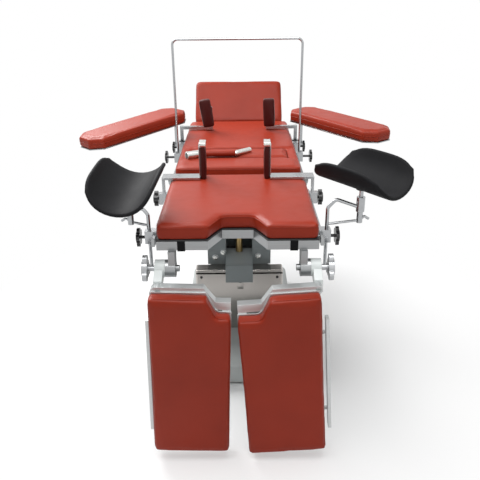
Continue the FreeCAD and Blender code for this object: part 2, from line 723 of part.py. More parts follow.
def make_back():
    across = ("-pad_half", "pad_half")
    tall = (FRAME_BOTTOM, FRAME_TOP)
    through = (f"{FRAME_BOTTOM} - 1", f"{FRAME_TOP} + 1")
    inner = "pad_half - tube_wide"
    slab = box("back_slab", across, ("back_front", "back_end"), tall)
    holes = [
        box("back_hole_a", (f"-({inner})", inner), ("back_front + tube_wide", "window_front - tube_wide"), through),
        box("back_hole_b", ("-window_half", "window_half"), ("window_front", "window_back"), through),
        box("back_hole_c", (f"-({inner})", inner), ("window_back + tube_wide", "back_bar"), through),
        box("back_hole_d", (f"-({inner})", inner), ("back_bar + tube_wide", "back_end - tube_wide"), through),
    ]
    frame = minus("back_tubes", slab, *holes)
    extras = []
    bores = []
    middle = "(window_front + window_back) / 2"
    for side in (-1, 1):
        name = side_name(side)
        ear_low, ear_high = span(side, "pad_half + seat_ear_thick + 0.5",
                                 "pad_half + seat_ear_thick + back_ear_thick")
        ear = plate("back_ear_" + name, "YZ",
                    [("back_axis_y - ear_round", "back_axis_z"), ("back_axis_y - 4", FRAME_BOTTOM + " + 30"),
                     ("back_front + 2", FRAME_BOTTOM), ("back_rail_front - 2", FRAME_BOTTOM),
                     ("back_rail_front - 2", FRAME_TOP), ("back_axis_y + ear_round", "back_axis_z")],
                    ear_low, ear_high)
        boss = rod("back_ear_boss_" + name, "X", ear_low, ear_high, "back_axis_y", "back_axis_z", "ear_round")
        foot = box("back_foot_" + name, span(side, "pad_half", "pad_half + seat_ear_thick + back_ear_thick"),
                   ("back_front + 2", "back_rail_front - 2"), tall)
        bores.append(rod("back_bore_" + name, "X", *span(side, "pad_half + seat_ear_thick",
                                                        "pad_half + seat_ear_thick + back_ear_thick + 1"),
                         "back_axis_y", "back_axis_z", "back_pin + running_gap"))
        guide = box("bridge_guide_" + name, span(side, "bridge_post_x - guide_half", "bridge_post_x + guide_half"),
                    ("window_front", "window_back"), (FRAME_BOTTOM, FRAME_BOTTOM + " + guide_tall"))
        bores.append(rod("bridge_bore_" + name, "Z", FRAME_BOTTOM + " - 1", FRAME_TOP + " + 1",
                         f"{side} * bridge_post_x", middle, "bridge_post + running_gap"))
        socket = plate("head_fork_" + name, "YZ",
                       [("back_end - tube_wide", FRAME_BOTTOM), ("back_end + 6", FRAME_BOTTOM),
                        ("head_axis_y - 6", FRAME_TOP + " - 6"),
                        ("head_axis_y + head_ear_round", "head_axis_z"),
                        ("head_axis_y - head_ear_round", "head_axis_z"), ("back_end + 1", FRAME_TOP),
                        ("back_end - tube_wide", FRAME_TOP)],
                       *span(side, "head_ear_in", "head_ear_in + head_ear_thick"))
        knuckle = rod("head_knuckle_" + name, "X", *span(side, "head_ear_in", "head_ear_in + head_ear_thick"),
                      "head_axis_y", "head_axis_z", "head_ear_round")
        pin = rod("head_pin_" + name, "X", *span(side, "head_ear_in", "head_ear_in + 2 * head_ear_thick + 1"),
                  "head_axis_y", "head_axis_z", "head_pin")
        extras += [ear, boss, foot, guide, socket, knuckle, pin]
    node("back_frame", minus("back_welded", join("back_mass", frame, *extras), *bores))
    window = (("-window_half", "window_half"), ("window_front", "window_back"))
    board = box("back_board_slab", across, ("back_front", "back_end"), (FRAME_TOP, BOARD_TOP))
    board_hole = box("back_board_hole", *window, (f"{FRAME_TOP} - 1", "pad_top"))
    node("back_board", minus("back_board_plate", board, board_hole))
    cushion = box("back_cushion", across, ("back_front", "back_end"), (BOARD_TOP, "pad_top"))
    corners = rounded("back_cushion_corners", cushion, "corner_round", lambda e: along(e, 0, 0, 1))
    top = value("pad_top")
    soft = rounded("back_cushion_soft", corners, "pad_round", lambda e: at_height(e, top))
    pad_hole = box("back_pad_hole", *window, (f"{BOARD_TOP} - 1", "pad_top + 1"))
    node("back_pad", minus("back_cushion_open", soft, pad_hole))
    rails = [rail("back_rail_" + side_name(side), side, "back_rail_front", "back_rail_back",
                  ("back_rail_front + 40", "(back_rail_front + back_rail_back) / 2", "back_rail_back - 40"))
             for side in (-1, 1)]
    node("back_rails", group("back_rail_pair", *rails))

    inside = (("-window_half + bridge_gap", "window_half - bridge_gap"),
              ("window_front + bridge_gap", "window_back - bridge_gap"))
    deck = box("bridge_deck", *inside, (FRAME_TOP, BOARD_TOP))
    posts = [rod("bridge_post_" + side_name(side), "Z", "bridge_post_foot", FRAME_TOP + " + 1",
                 f"{side} * bridge_post_x", middle, "bridge_post") for side in (-1, 1)]
    node("bridge_plate", join("bridge_carrier", deck, *posts))
    cushion = box("bridge_cushion", *inside, (BOARD_TOP, "pad_top"))
    node("bridge_pad", rounded("bridge_soft", cushion, "pad_round / 2", lambda e: at_height(e, top)))


def make_head():
    head_back = "head_front + head_long"
    bars = []
    bores = []
    for side in (-1, 1):
        name = side_name(side)
        across = span(side, "head_ear_in + head_ear_thick + 0.5", "head_ear_in + 2 * head_ear_thick")
        bars.append(box("head_bar_" + name, across, ("head_front + 15", f"{head_back} - 30"),
                        (f"{FRAME_TOP} - 18", FRAME_TOP)))
        bars.append(plate("head_ear_" + name, "YZ",
                          [("head_axis_y - head_ear_round", "head_axis_z"), ("head_front + 15", f"{FRAME_TOP} - 18"),
                           ("head_front + 60", f"{FRAME_TOP} - 18"), ("head_front + 60", FRAME_TOP),
                           ("head_front - 1", FRAME_TOP)],
                          *across))
        bars.append(rod("head_ear_boss_" + name, "X", *across, "head_axis_y", "head_axis_z", "head_ear_round"))
        bores.append(rod("head_bore_" + name, "X", *span(side, "head_ear_in", "head_ear_in + 2 * head_ear_thick + 1"),
                         "head_axis_y", "head_axis_z", "head_pin + running_gap"))
    board = box("head_board", ("-head_half", "head_half"), ("head_front", head_back), (FRAME_TOP, BOARD_TOP))
    hinge = ("0", "head_axis_y", "head_axis_z")
    frame = minus("head_welded", join("head_mass", board, *bars), *bores)
    node("head_frame", turn_about(frame, hinge, (1, 0, 0), value("head_raise")))
    cushion = box("head_cushion", ("-head_half", "head_half"), ("head_front", head_back), (BOARD_TOP, "pad_top"))
    corners = rounded("head_cushion_corners", cushion, "corner_round", lambda e: along(e, 0, 0, 1))
    top = value("pad_top")
    soft = rounded("head_cushion_soft", corners, "pad_round", lambda e: at_height(e, top))
    node("head_pad", turn_about(group("head_cushion_one", soft), hinge, (1, 0, 0), value("head_raise")))


def make_leg(side):
    name = side_name(side)
    leg_in = "leg_in_" + name
    leg_out = "leg_out_" + name
    rail_in = "leg_rail_" + name
    swing = {1: -value("leg_right_swing"), -1: value("leg_left_swing")}[side]
    pivot = (f"{side} * swing_x", "leg_frame_back", "swing_z")
    disc = rod("outer_disc_" + name, "X", *span(side, "disc_mid", "disc_out"), "leg_axis_y", "leg_axis_z",
               "disc_radius")
    arm = plate("swing_arm_" + name, "YZ",
                [("leg_axis_y + 20", "leg_axis_z"), ("leg_axis_y", "leg_axis_z + 20"),
                 ("leg_frame_back + 0.3", "swing_z + 17"), ("leg_frame_back + 0.3", "swing_z - 17"),
                 ("leg_axis_y + 8", "leg_axis_z - 20")],
                *span(side, "swing_x - 9", "disc_out"))
    pin = rod("swing_pin_" + name, "Y", "leg_pad_back + 8", "leg_frame_back + 1", f"{side} * swing_x", "swing_z",
              "swing_pin")
    bore = rod("leg_stem_bore_" + name, "X", *span(side, "disc_mid - 1", "disc_out + 1"), "leg_axis_y", "leg_axis_z",
               "leg_stem + running_gap")
    node("leg_joint_" + name, minus("leg_joint_cut_" + name, join("leg_joint_mass_" + name, disc, arm, pin), bore))
    node("leg_knob_" + name, knob("leg_knob_body_" + name, side, "leg_knob_near", "leg_knob_far", "leg_axis_y",
                                  "leg_axis_z", "leg_knob_radius", 3, "leg_stem", "disc_mid"))

    def across(points):
        if side > 0:
            return points
        return [(f"-({x})", z) for x, z in reversed(points)]

    outer = [(f"{leg_out} - 2", "leg_frame_top - leg_corner"), (f"{leg_out} - 2 - leg_corner", "leg_frame_top"),
             ("leg_notch_out + 7", "leg_frame_top"),
             ("leg_notch_in - 1", "leg_notch_foot + 29"), (f"{leg_in} + 2", "leg_notch_foot + 29"),
             (f"{leg_in} + 2", "leg_pad_foot + 6"), (f"{leg_out} - 2", "leg_pad_foot + 6")]
    inner = [(f"{leg_out} - 27", "leg_frame_top - 24"), ("leg_notch_out + 22", "leg_frame_top - 24"),
             ("leg_notch_in + 14", "leg_notch_foot + 4"), (f"{leg_in} + 27", "leg_notch_foot + 4"),
             (f"{leg_in} + 27", "leg_pad_foot + 31"), (f"{leg_out} - 27", "leg_pad_foot + 31")]
    front = "leg_pad_back + board_thick"
    tubes = plate("leg_tubes_" + name, "XZ", across(outer), front, "leg_frame_back")
    hole = plate("leg_hole_" + name, "XZ", across(inner), f"{front} - 1", "leg_frame_back + 1")
    bush = rod("leg_bush_" + name, "Y", front, "leg_frame_back", f"{side} * swing_x", "swing_z", "leg_bush")
    pin_bore = rod("leg_bore_" + name, "Y", front, "leg_frame_back + 1", f"{side} * swing_x", "swing_z",
                   "swing_pin + running_gap")
    bar = box("leg_rail_bar_" + name, span(side, rail_in, f"{rail_in} + rail_thick"),
              ("leg_pad_back - 7", "leg_pad_back + rail_tall - 7"), ("leg_rail_foot", "leg_rail_top"))
    posts = [rod("leg_post_" + name, "X", *span(side, f"{leg_out} - 3", rail_in), "leg_pad_back + 20", z,
                 "standoff")
             for z in ("leg_rail_foot + 60", "leg_rail_top - 60")]
    solid = join("leg_mass_" + name, minus("leg_open_" + name, tubes, hole), bush, bar, *posts)
    metal = minus("leg_bored_" + name, solid, pin_bore)
    pad_points = [(leg_out, "leg_pad_top"), ("leg_notch_out", "leg_pad_top"), ("leg_notch_in", "leg_notch_low"),
                  ("leg_notch_in - 12", "leg_notch_foot"), (leg_in, "leg_notch_foot"), (leg_in, "leg_pad_foot"),
                  (leg_out, "leg_pad_foot")]
    board = plate("leg_board_" + name, "XZ", across(pad_points), "leg_pad_back", front)
    node("leg_frame_" + name, turn_about(group("leg_frame_pair_" + name, metal, board), pivot, (0, 1, 0), swing))
    cushion = plate("leg_cushion_" + name, "XZ", across(pad_points), "leg_pad_front", "leg_pad_back")
    face = value("leg_pad_front")
    soft = rounded("leg_soft_" + name, cushion, "pad_round",
                   lambda e: all(abs(v.Point.y - face) < 0.01 for v in e.Vertexes))
    node("leg_pad_" + name, turn_about(group("leg_pad_one_" + name, soft), pivot, (0, 1, 0), swing))


def make_lateral(side):
    name = side_name(side)
    face = "lateral_right_x" if side > 0 else "lateral_left_x"
    lateral_out = "upright_in + lateral_upright_wide"
    clamp = clamp_block("lateral_clamp_" + name, side, "lateral_front", "lateral_back")
    upright = box("lateral_upright_" + name, span(side, "upright_in", lateral_out), ("lateral_front", "lateral_back"),
                  (f"{RAIL_Z} + rail_tall / 2 + 1", "lateral_bar_bottom + lateral_bar_thick"))
    bar = box("lateral_bar_" + name, span(side, f"{face} + lateral_pad_thick", lateral_out),
              ("lateral_front", "lateral_bar_back"),
              ("lateral_bar_bottom", "lateral_bar_bottom + lateral_bar_thick"))
    backing = box("lateral_backing_" + name, span(side, f"{face} + lateral_pad_thick",
                                                  f"{face} + lateral_pad_thick + lateral_plate"),
                  ("lateral_pad_front + 8", "lateral_pad_back - 8"), ("lateral_bar_bottom", "lateral_pad_top - 8"))
    bore = rod("lateral_bore_" + name, "X", *span(side, "rail_in + rail_thick + clamp_gap", "clamp_out + 1"),
               "(lateral_front + lateral_back) / 2", RAIL_Z, "knob_stem + running_gap")
    node("lateral_arm_" + name, minus("lateral_cut_" + name, join("lateral_mass_" + name, clamp, upright, bar, backing),
                                      bore))
    pad = box("lateral_cushion_" + name, span(side, face, f"{face} + lateral_pad_thick"),
              ("lateral_pad_front", "lateral_pad_back"), ("lateral_pad_bottom", "lateral_pad_top"))
    node("lateral_pad_" + name, rounded("lateral_soft_" + name, pad, "pad_round / 2", lambda e: True))
    node("lateral_knob_" + name, knob("lateral_knob_body_" + name, side, "clamp_out + 3", "clamp_out + 20",
                                      "(lateral_front + lateral_back) / 2", RAIL_Z, "small_knob", 5, "knob_stem",
                                      "rail_in + rail_thick + clamp_gap + 2"))


def make_shoulder(side):
    name = side_name(side)
    centre = "shoulder_pad_right_x" if side > 0 else "shoulder_pad_left_x"
    upright_out = "upright_in + shoulder_upright_wide"
    clamp = clamp_block("shoulder_clamp_" + name, side, "shoulder_front", "shoulder_back")
    upright = box("shoulder_upright_" + name, span(side, "upright_in", upright_out), ("shoulder_front", "shoulder_back"),
                  (f"{RAIL_Z} + rail_tall / 2 + 1", "shoulder_bar_bottom + shoulder_bar_tall"))
    bar = box("shoulder_bar_" + name, span(side, f"{centre} - 16", upright_out),
              ("shoulder_front", "shoulder_back - 6"),
              ("shoulder_bar_bottom", "shoulder_bar_bottom + shoulder_bar_tall"))
    plate_back = box("shoulder_plate_" + name, span(side, f"{centre} - 16", f"{centre} + 16"),
                     ("shoulder_pad_face + shoulder_pad_thick", "shoulder_front + 4"),
                     ("shoulder_bar_bottom", "shoulder_pad_top - 40"))
    node("shoulder_arm_" + name, join("shoulder_mass_" + name, clamp, upright, bar, plate_back))
    pad = box("shoulder_cushion_" + name, span(side, f"{centre} - shoulder_pad_wide / 2",
                                               f"{centre} + shoulder_pad_wide / 2"),
              ("shoulder_pad_face", "shoulder_pad_face + shoulder_pad_thick"),
              ("shoulder_pad_bottom", "shoulder_pad_top"))
    soft = rounded("shoulder_soft_" + name, pad, "pad_round", lambda e: True)
    lean = -value("shoulder_pad_lean") if side < 0 else -2
    turned_pad = turn_about(group("shoulder_pad_one_" + name, soft), (f"{side} * {centre}", "shoulder_pad_face",
                                                                     "shoulder_pad_bottom"), (0, 1, 0), lean)
    node("shoulder_pad_" + name, turned_pad)


def make_arm_board(side):
    name = side_name(side)
    middle = "(arm_clamp_front + arm_clamp_back) / 2"
    clamp = clamp_block("arm_clamp_" + name, side, "arm_clamp_front", "arm_clamp_back")
    lug = box("arm_lug_" + name, span(side, "clamp_out - 10", "arm_post_x + arm_post + 1"),
              ("arm_clamp_front", "arm_clamp_back"),
              (f"{RAIL_Z} + rail_tall / 2 - 4", f"{RAIL_Z} + rail_tall / 2 + clamp_wall"))
    post = rod("arm_post_bar_" + name, "Z", f"{RAIL_Z} + rail_tall / 2", "arm_board_bottom - arm_boss_tall - 0.3",
               f"{side} * arm_post_x", middle, "arm_post")
    bore = rod("arm_clamp_bore_" + name, "X", *span(side, "rail_in + rail_thick + clamp_gap", "clamp_out + 1"),
               middle, RAIL_Z, "knob_stem + running_gap")
    node("arm_post_" + name, minus("arm_post_cut_" + name, join("arm_post_mass_" + name, clamp, lug, post), bore))
    node("arm_knob_" + name, knob("arm_knob_body_" + name, side, "clamp_out + 16", "clamp_out + 27", middle, RAIL_Z,
                                  "arm_knob", 5, "knob_stem", "rail_in + rail_thick + clamp_gap + 2"))
    near = "-arm_board_inset"
    far = "arm_board_long - arm_board_inset"
    cut = "arm_board_chamfer"
    board = plate("arm_cushion_" + name, "XY",
                  [(f"{near} + {cut}", "-arm_board_half"), (f"{far} - {cut}", "-arm_board_half"),
                   (far, f"-arm_board_half + {cut}"), (far, f"arm_board_half - {cut}"),
                   (f"{far} - {cut}", "arm_board_half"), (f"{near} + {cut}", "arm_board_half"),
                   (near, f"arm_board_half - {cut}"), (near, f"-arm_board_half + {cut}")],
                  "0", "arm_board_thick")
    top = value("arm_board_thick")
    soft = rounded("arm_soft_" + name, board, "pad_round", lambda e: at_height(e, top))
    tilted = group("arm_board_one_" + name, soft)
    tilted.Placement = FreeCAD.Placement(V(), FreeCAD.Rotation(V(0, 1, 0), value(f"arm_{name}_drop")))
    boss = rod("arm_boss_" + name, "Z", "-arm_boss_tall", "arm_boss_tall", "0", "0", "arm_boss")
    whole = join("arm_board_mass_" + name, tilted, boss)
    angle = value(f"arm_{name}_turn")
    doc.recompute()
    node("arm_board_" + name, place(whole, f"{side} * arm_post_x", middle, "arm_board_bottom", (0, 0, 1), angle))


def make_screen():
    feet = []
    for side in (-1, 1):
        name = side_name(side)
        clamp = clamp_block("screen_clamp_" + name, side, "screen_y - screen_clamp_half",
                            "screen_y + screen_clamp_half")
        bore = rod("screen_bore_" + name, "X", *span(side, "rail_in + rail_thick + clamp_gap", "clamp_out + 1"),
                   "screen_y", RAIL_Z, "knob_stem + running_gap")
        feet.append(minus("screen_foot_" + name, clamp, bore))
        node("screen_knob_" + name, knob("screen_knob_body_" + name, side, "clamp_out + 30", "clamp_out + 42",
                                         "screen_y", RAIL_Z, "frame_knob", 5, "knob_stem",
                                         "rail_in + rail_thick + clamp_gap + 2"))
    top = f"{RAIL_Z} + rail_tall / 2 + clamp_wall / 2"
    hoop = bent_rod("screen_hoop", [("-screen_x", "screen_y", top), ("-screen_x", "screen_y", "screen_top"),
                                    ("screen_x", "screen_y", "screen_top"), ("screen_x", "screen_y", top)],
                    "screen_rod", "screen_bend")
    node("screen_frame", join("screen_mass", hoop, *feet))


def make_holder(side):
    name = side_name(side)
    clamp = clamp_block("holder_clamp_" + name, side, "holder_y - holder_clamp_half", "holder_y + holder_clamp_half")
    bore = rod("holder_bore_" + name, "X", *span(side, "rail_in + rail_thick + clamp_gap", "clamp_out + 1"),
               "holder_y - 8", RAIL_Z, "knob_stem + running_gap")

    def at(x, z):
        return (f"{side} * ({x})", "holder_y", z)

    post = "holder_post_" + name
    bar = bent_rod("holder_bar_" + name, [at("holder_rod_x", "holder_rod_foot"),
                                          at("holder_rod_x", "holder_top_" + name),
                                          at("holder_elbow_x_" + name, "holder_elbow_z_" + name),
                                          at(post, "holder_post_z")],
                   "holder_rod", "holder_bend")
    brace = bent_rod("holder_brace_" + name, [at("holder_rod_x", "brace_z"), at(post, "brace_z + brace_rise"),
                                              at(f"{post} + grip_reach", "brace_z + brace_rise + grip_rise"),
                                              at(f"{post} + 2 * grip_reach", "brace_z + brace_rise + 4")],
                     "brace_rod", "brace_rod")
    post_x = f"{side} * {post}"
    lower = rod("holder_lower_" + name, "Z", "holder_lower_z", "holder_barrel_z", post_x, "holder_y",
                "holder_lower")
    barrel = rod("holder_barrel_" + name, "Z", "holder_barrel_z", "holder_neck_z", post_x, "holder_y",
                 "holder_barrel")
    socket = rod("holder_socket_" + name, "Z", "holder_barrel_z", "holder_neck_z + 1", post_x, "holder_y",
                 "holder_neck + running_gap")
    mass = join("holder_mass_" + name, clamp, bar, brace, lower, barrel)
    node("holder_rod_" + name, minus("holder_cut_" + name, mass, bore, socket))
    node("holder_knob_" + name, knob("holder_knob_body_" + name, side, "clamp_out + 14", "clamp_out + 26",
                                     "holder_y - 8", RAIL_Z, "holder_knob", 5, "knob_stem",
                                     "rail_in + rail_thick + clamp_gap + 2"))
    valley = "saddle_z_" + name
    foot = f"{valley} - saddle_boss_tall"
    neck_top = f"{foot} + saddle_neck_depth"
    neck = rod("holder_neck_" + name, "Z", "holder_barrel_z + 1", neck_top, post_x, "holder_y", "holder_neck")
    inner = "saddle_radius"
    outer = "saddle_radius + saddle_wall"
    trough = turned("saddle_shell_" + name,
                    [("-saddle_long / 2", inner), ("saddle_long / 2", inner), ("saddle_long / 2", outer),
                     ("-saddle_long / 2", outer)], 2 * value("saddle_half_angle"))
    hollow = turned("saddle_hollow_" + name,
                    [("-saddle_long", "0"), ("saddle_long", "0"), ("saddle_long", inner), ("-saddle_long", inner)])
    boss = rod("saddle_boss_" + name, "Z", foot, valley, post_x, "holder_y", "saddle_boss")
    seat = rod("saddle_boss_bore_" + name, "Z", f"{foot} - 1", neck_top, post_x, "holder_y",
               "holder_neck")
    return neck, trough, hollow, boss, seat


def build_saddles():
    angles = {-1: (-6, 9, 4), 1: (42.8, 2.8, -2.6)}
    for side in (-1, 1):
        name = side_name(side)
        neck, trough, hollow, boss, seat = make_holder(side)
        yaw, pitch, roll = angles[side]
        doc.recompute()
        turn = (FreeCAD.Rotation(V(0, 0, 1), yaw) * FreeCAD.Rotation(V(1, 0, 0), pitch)
                * FreeCAD.Rotation(V(0, 1, 0), roll))
        lay = FreeCAD.Rotation(V(0, 0, 1), 90)
        down = FreeCAD.Rotation(V(1, 0, 0), -90)
        valley = V(side * value("holder_post_" + name), value("holder_y"), value("saddle_z_" + name))
        centre = valley + turn.multVec(V(0, 0, value("saddle_radius")))
        trough.Placement = FreeCAD.Placement(centre, turn * lay * down)
        hollow.Placement = FreeCAD.Placement(centre, turn * lay)
        seated = join("saddle_seated_" + name, trough, boss)
        node("saddle_" + name, minus("saddle_open_" + name, seated, hollow, seat))
        node("saddle_neck_" + name, neck)


def make_crank():
    level = "pad_top + crank_lift + crank_grip"
    points = [V(-205, 12, 0), V(-155, 38, 0), V(-9, 44, 0), V(46, 108, 0)]
    high = value(level)
    low = value("pad_top + crank_lift + crank_end")
    heights = (high, high, high, low)
    places = [V(p.x, p.y, z) for p, z in zip(points, heights)]
    radii = [value(r) for r in ("crank_grip", "crank_body", "crank_end")]
    solids = []
    for start, end, radius in zip(places, places[1:], radii):
        way = end - start
        solids.append(Part.makeCylinder(radius, way.Length, start, way))
    solids.append(Part.makeSphere(radii[1], places[1]))
    solids.append(Part.makeSphere(radii[1], places[2]))
    handle = doc.addObject("Part::Feature", "crank")
    handle.Shape = solids[0].fuse(solids[1:]).removeSplitter()
    node("crank_handle", handle)


def main():
    make_base()
    make_column()
    make_tilt_head()
    make_seat()
    make_back()
    make_head()
    for side in (-1, 1):
        make_leg(side)
        make_lateral(side)
        make_shoulder(side)
        make_arm_board(side)
    make_screen()
    build_saddles()
    make_crank()
    doc.recompute()
    faults = [thing.Label for thing in doc.Objects if {"Invalid", "Error"} & set(thing.State)]
    for label, piece in NODES.items():
        if piece.Shape.isNull() or not piece.Shape.isValid() or not piece.Shape.Solids:
            faults.append(label)
    if faults:
        raise RuntimeError("not built: " + ", ".join(faults))
    os.makedirs("parts", exist_ok=True)
    for label, piece in NODES.items():
        piece.Shape.exportStep(f"parts/{label}.step")
    print(len(NODES), "nodes written")


main()
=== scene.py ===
import json
import math

import bmesh
import bpy
from mathutils import Matrix, Vector


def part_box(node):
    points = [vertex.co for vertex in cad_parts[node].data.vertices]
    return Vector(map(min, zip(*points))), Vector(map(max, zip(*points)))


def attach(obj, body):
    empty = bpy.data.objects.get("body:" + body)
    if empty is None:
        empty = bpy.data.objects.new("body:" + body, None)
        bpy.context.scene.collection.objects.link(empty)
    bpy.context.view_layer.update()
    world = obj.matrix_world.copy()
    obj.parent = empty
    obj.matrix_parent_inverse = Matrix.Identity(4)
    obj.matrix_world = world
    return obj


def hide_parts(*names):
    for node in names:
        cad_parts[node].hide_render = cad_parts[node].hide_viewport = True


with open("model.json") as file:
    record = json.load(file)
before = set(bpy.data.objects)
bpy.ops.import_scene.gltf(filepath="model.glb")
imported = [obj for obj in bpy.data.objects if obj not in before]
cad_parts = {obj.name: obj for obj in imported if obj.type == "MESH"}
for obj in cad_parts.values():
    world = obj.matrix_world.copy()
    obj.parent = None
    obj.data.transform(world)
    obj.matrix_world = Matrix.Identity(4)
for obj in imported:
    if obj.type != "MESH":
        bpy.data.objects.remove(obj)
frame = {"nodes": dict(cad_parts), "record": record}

bl_info = {
    "name": "Operating Table",
    "version": (1, 0, 0),
    "blender": (4, 5, 0),
    "location": "View3D > Sidebar > Table",
    "description": "Dresses the frame of a padded operating table",
    "category": "Object",
}

NODES = frame["nodes"]
BODY_OF = {node: body for body, nodes in frame["record"]["behaviour"]["bodies"].items() for node in nodes}
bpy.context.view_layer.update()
SIDES = (("left", -1), ("right", 1))
UP = Vector((0, 0, 1))

# The photograph's camera, as solved from the straight edges of the table
CAMERA_PLACE = Vector((0.01446, -2.20387, 1.41582))
CAMERA_PITCH = math.radians(24.34)
CAMERA_YAW = math.radians(-0.28)
CAMERA_ROLL = math.radians(-0.60)
CAMERA_LENS = 43.125

# The head section is raised by this angle at rest, and the saddles stand at these angles
HEAD_RAISE = math.radians(48)
SADDLE_ANGLES = {"left": (-6, 9, 4), "right": (42.8, 2.8, -2.6)}
SADDLE_VALLEY = {"left": Vector((-0.325, -0.585, 0.844)), "right": Vector((0.370, -0.585, 0.865))}

# The share of a cover's inward move that the firm foam under it holds back
SINK_HELD = 0.97

# How far the outer sides of the flat pads are let out, so that they cover their frames
PAD_SPREAD = 0.0015

# How far the side pads may swell, and how tall their bright metal caps are, which are painted highlight of
# the pads' lit tops
SIDE_CROWN = 0.002
SIDE_SWELL = 0.0035
LIT_CAP_TALL = 0.015

# Welts: a row shorter than this is a stray cut, and how far below the top of a pad the cord lies
WELT_SHORTEST = 0.15
WELT_DROP = 0.0105
WELT_RADIUS = 0.0014
ARM_WELT_DROP = 0.024

# Bolts on the front of the tilt head's cheeks, and the runs of the crank that lies on the pad; the middle
# run's red sleeve paints the reflection of the red vinyl in the polished rod
CHEEK_FRONT = -0.092
CHEEK_BOLTS = ((-0.097, 0.385), (-0.064, 0.407), (0.077, 0.390))
HEAD_INNER_HALF = 0.0545
WEB_INSET = 0.004
WEB_THICK = 0.010
WEB_FOOT = 0.040
WEB_TOP = 0.111
CRANK_GRIP = ((-0.205, 0.012), (-0.155, 0.038))
CRANK_REFLECTION_RUN = ((-0.155, 0.038), (-0.009, 0.044))

# Arm boards: where the foam and the plate under it start above the pivot, and the swivel disc
ARM_FOAM_FOOT = 0.004
ARM_PLATE_FOOT = 0.0005
ARM_SWIVEL_DROP = 0.0022
ARM_SWIVEL_RADIUS = 0.014
ARM_SWIVEL_TALL = 0.0075

# How far a bright metal cap, a painted highlight of its pad's lit top, stands past the sides of its pad, and
# the rounding of its edges
LIT_CAP_OVERLAP = 0.001
LIT_CAP_ROUND = 0.002

# Bolts and washers on the cheeks
BOLT_RADIUS = 0.0095
BOLT_TALL = 0.009
WASHER_RADIUS = 0.0125
WASHER_TALL = 0.0016

# Screws, latch and latch plate on the front of the column casing
SCREW_X = 0.153
SCREW_Z = 0.322
SCREW_OUT = 0.0008
SCREW_RADIUS = 0.0055
SCREW_TALL = 0.0022
LATCH_X = 0.004
LATCH_Z = 0.303
LATCH_OUT = 0.001
LATCH_RADIUS = 0.006
LATCH_TALL = 0.003
LATCH_PLATE_LOW = (-0.008, 0.268)
LATCH_PLATE_HIGH = (0.016, 0.313)
LATCH_PLATE_OUT = 0.0012
LATCH_PLATE_SUNK = 0.0004
LATCH_PLATE_ROUND = 0.0005

# Crank: how far its rods lie above its lowest point, its red sleeve, which paints the reflection of the red
# vinyl in the polished rod, and a black disc, which paints the shade inside its open end
CRANK_RISE = 0.0165
REFLECTION_SLEEVE_RADIUS = 0.0118
REFLECTION_SLEEVE_SHORT = 0.004
MOUTH_SHADE_RADIUS = 0.0115
MOUTH_SHADE_OUT = 0.0004
MOUTH_SHADE_TALL = 0.0012

# The mount under each saddle, and the edge of the slab that gets the rim
MOUNT_DROP = 0.0135
MOUNT_RADIUS = 0.0165
MOUNT_TALL = 0.013
MOUNT_TAPER = 1.3
SLAB_EDGE = 0.999

# The power of the rounded outline of a saddle, where 2 would be an oval
CORNER_POWER = 3.4

# Each arm board turns about its post and drops a little towards its far end
ARM_PIVOT = {"left": Vector((-0.290, 0.445, 0.829)), "right": Vector((0.290, 0.445, 0.829))}
ARM_ANGLES = {"left": (224.3, 5.1), "right": (-51.8, 1.6)}


class TableSizes(bpy.types.PropertyGroup):
    """Sizes of the soft pieces"""

    pad_shrink: bpy.props.FloatProperty(
        name="Pad shrink", description="How far a cover starts inside its solid", default=0.0010,
        unit="LENGTH")
    pad_crown: bpy.props.FloatProperty(
        name="Pad crown", description="How far the top of a pad may swell", default=0.0065, unit="LENGTH")
    pad_side: bpy.props.FloatProperty(
        name="Pad side", description="How far the sides of a pad may swell", default=0.0035, unit="LENGTH")
    voxel: bpy.props.FloatProperty(
        name="Voxel", description="Mesh size of the covers", default=0.0065, unit="LENGTH")
    small_voxel: bpy.props.FloatProperty(
        name="Small voxel", description="Mesh size of the small pads", default=0.0048, unit="LENGTH")
    saddle_radius: bpy.props.FloatProperty(
        name="Saddle radius", description="Inner radius of a leg saddle", default=0.091, unit="LENGTH")
    saddle_length: bpy.props.FloatProperty(
        name="Saddle length", description="Length of a leg saddle", default=0.254, unit="LENGTH")
    saddle_wall: bpy.props.FloatProperty(
        name="Saddle wall", description="Thickness of a leg saddle", default=0.012, unit="LENGTH")
    saddle_half: bpy.props.FloatProperty(
        name="Saddle half angle", description="Half of the arc of a leg saddle", default=math.radians(76),
        subtype="ANGLE")


class TableColours(bpy.types.PropertyGroup):
    """Colours of the finishes"""

    vinyl: bpy.props.FloatVectorProperty(
        name="Vinyl", description="Brick red of the covers", default=(0.262, 0.0235, 0.0085),
        subtype="COLOR")
    # Dark vinyl: the side pads are the same red vinyl as the covers, darkened here as painted shade
    dark_vinyl: bpy.props.FloatVectorProperty(
        name="Dark vinyl", description="Covers of the side pads", default=(0.055, 0.007, 0.006),
        subtype="COLOR")
    steel: bpy.props.FloatVectorProperty(
        name="Steel", description="Brushed frames", default=(0.40, 0.41, 0.415), subtype="COLOR")
    grey_paint: bpy.props.FloatVectorProperty(
        name="Grey paint", description="Paint of the tilt head", default=(0.23, 0.257, 0.262),
        subtype="COLOR")
    light_paint: bpy.props.FloatVectorProperty(
        name="Light paint", description="Paint of the leg joints", default=(0.72, 0.76, 0.75),
        subtype="COLOR")
    base_paint: bpy.props.FloatVectorProperty(
        name="Base paint", description="Paint of the base", default=(0.40, 0.42, 0.415), subtype="COLOR")
    rubber: bpy.props.FloatVectorProperty(
        name="Black foam", description="Moulded foam of the saddles", default=(0.012, 0.012, 0.013),
        subtype="COLOR")


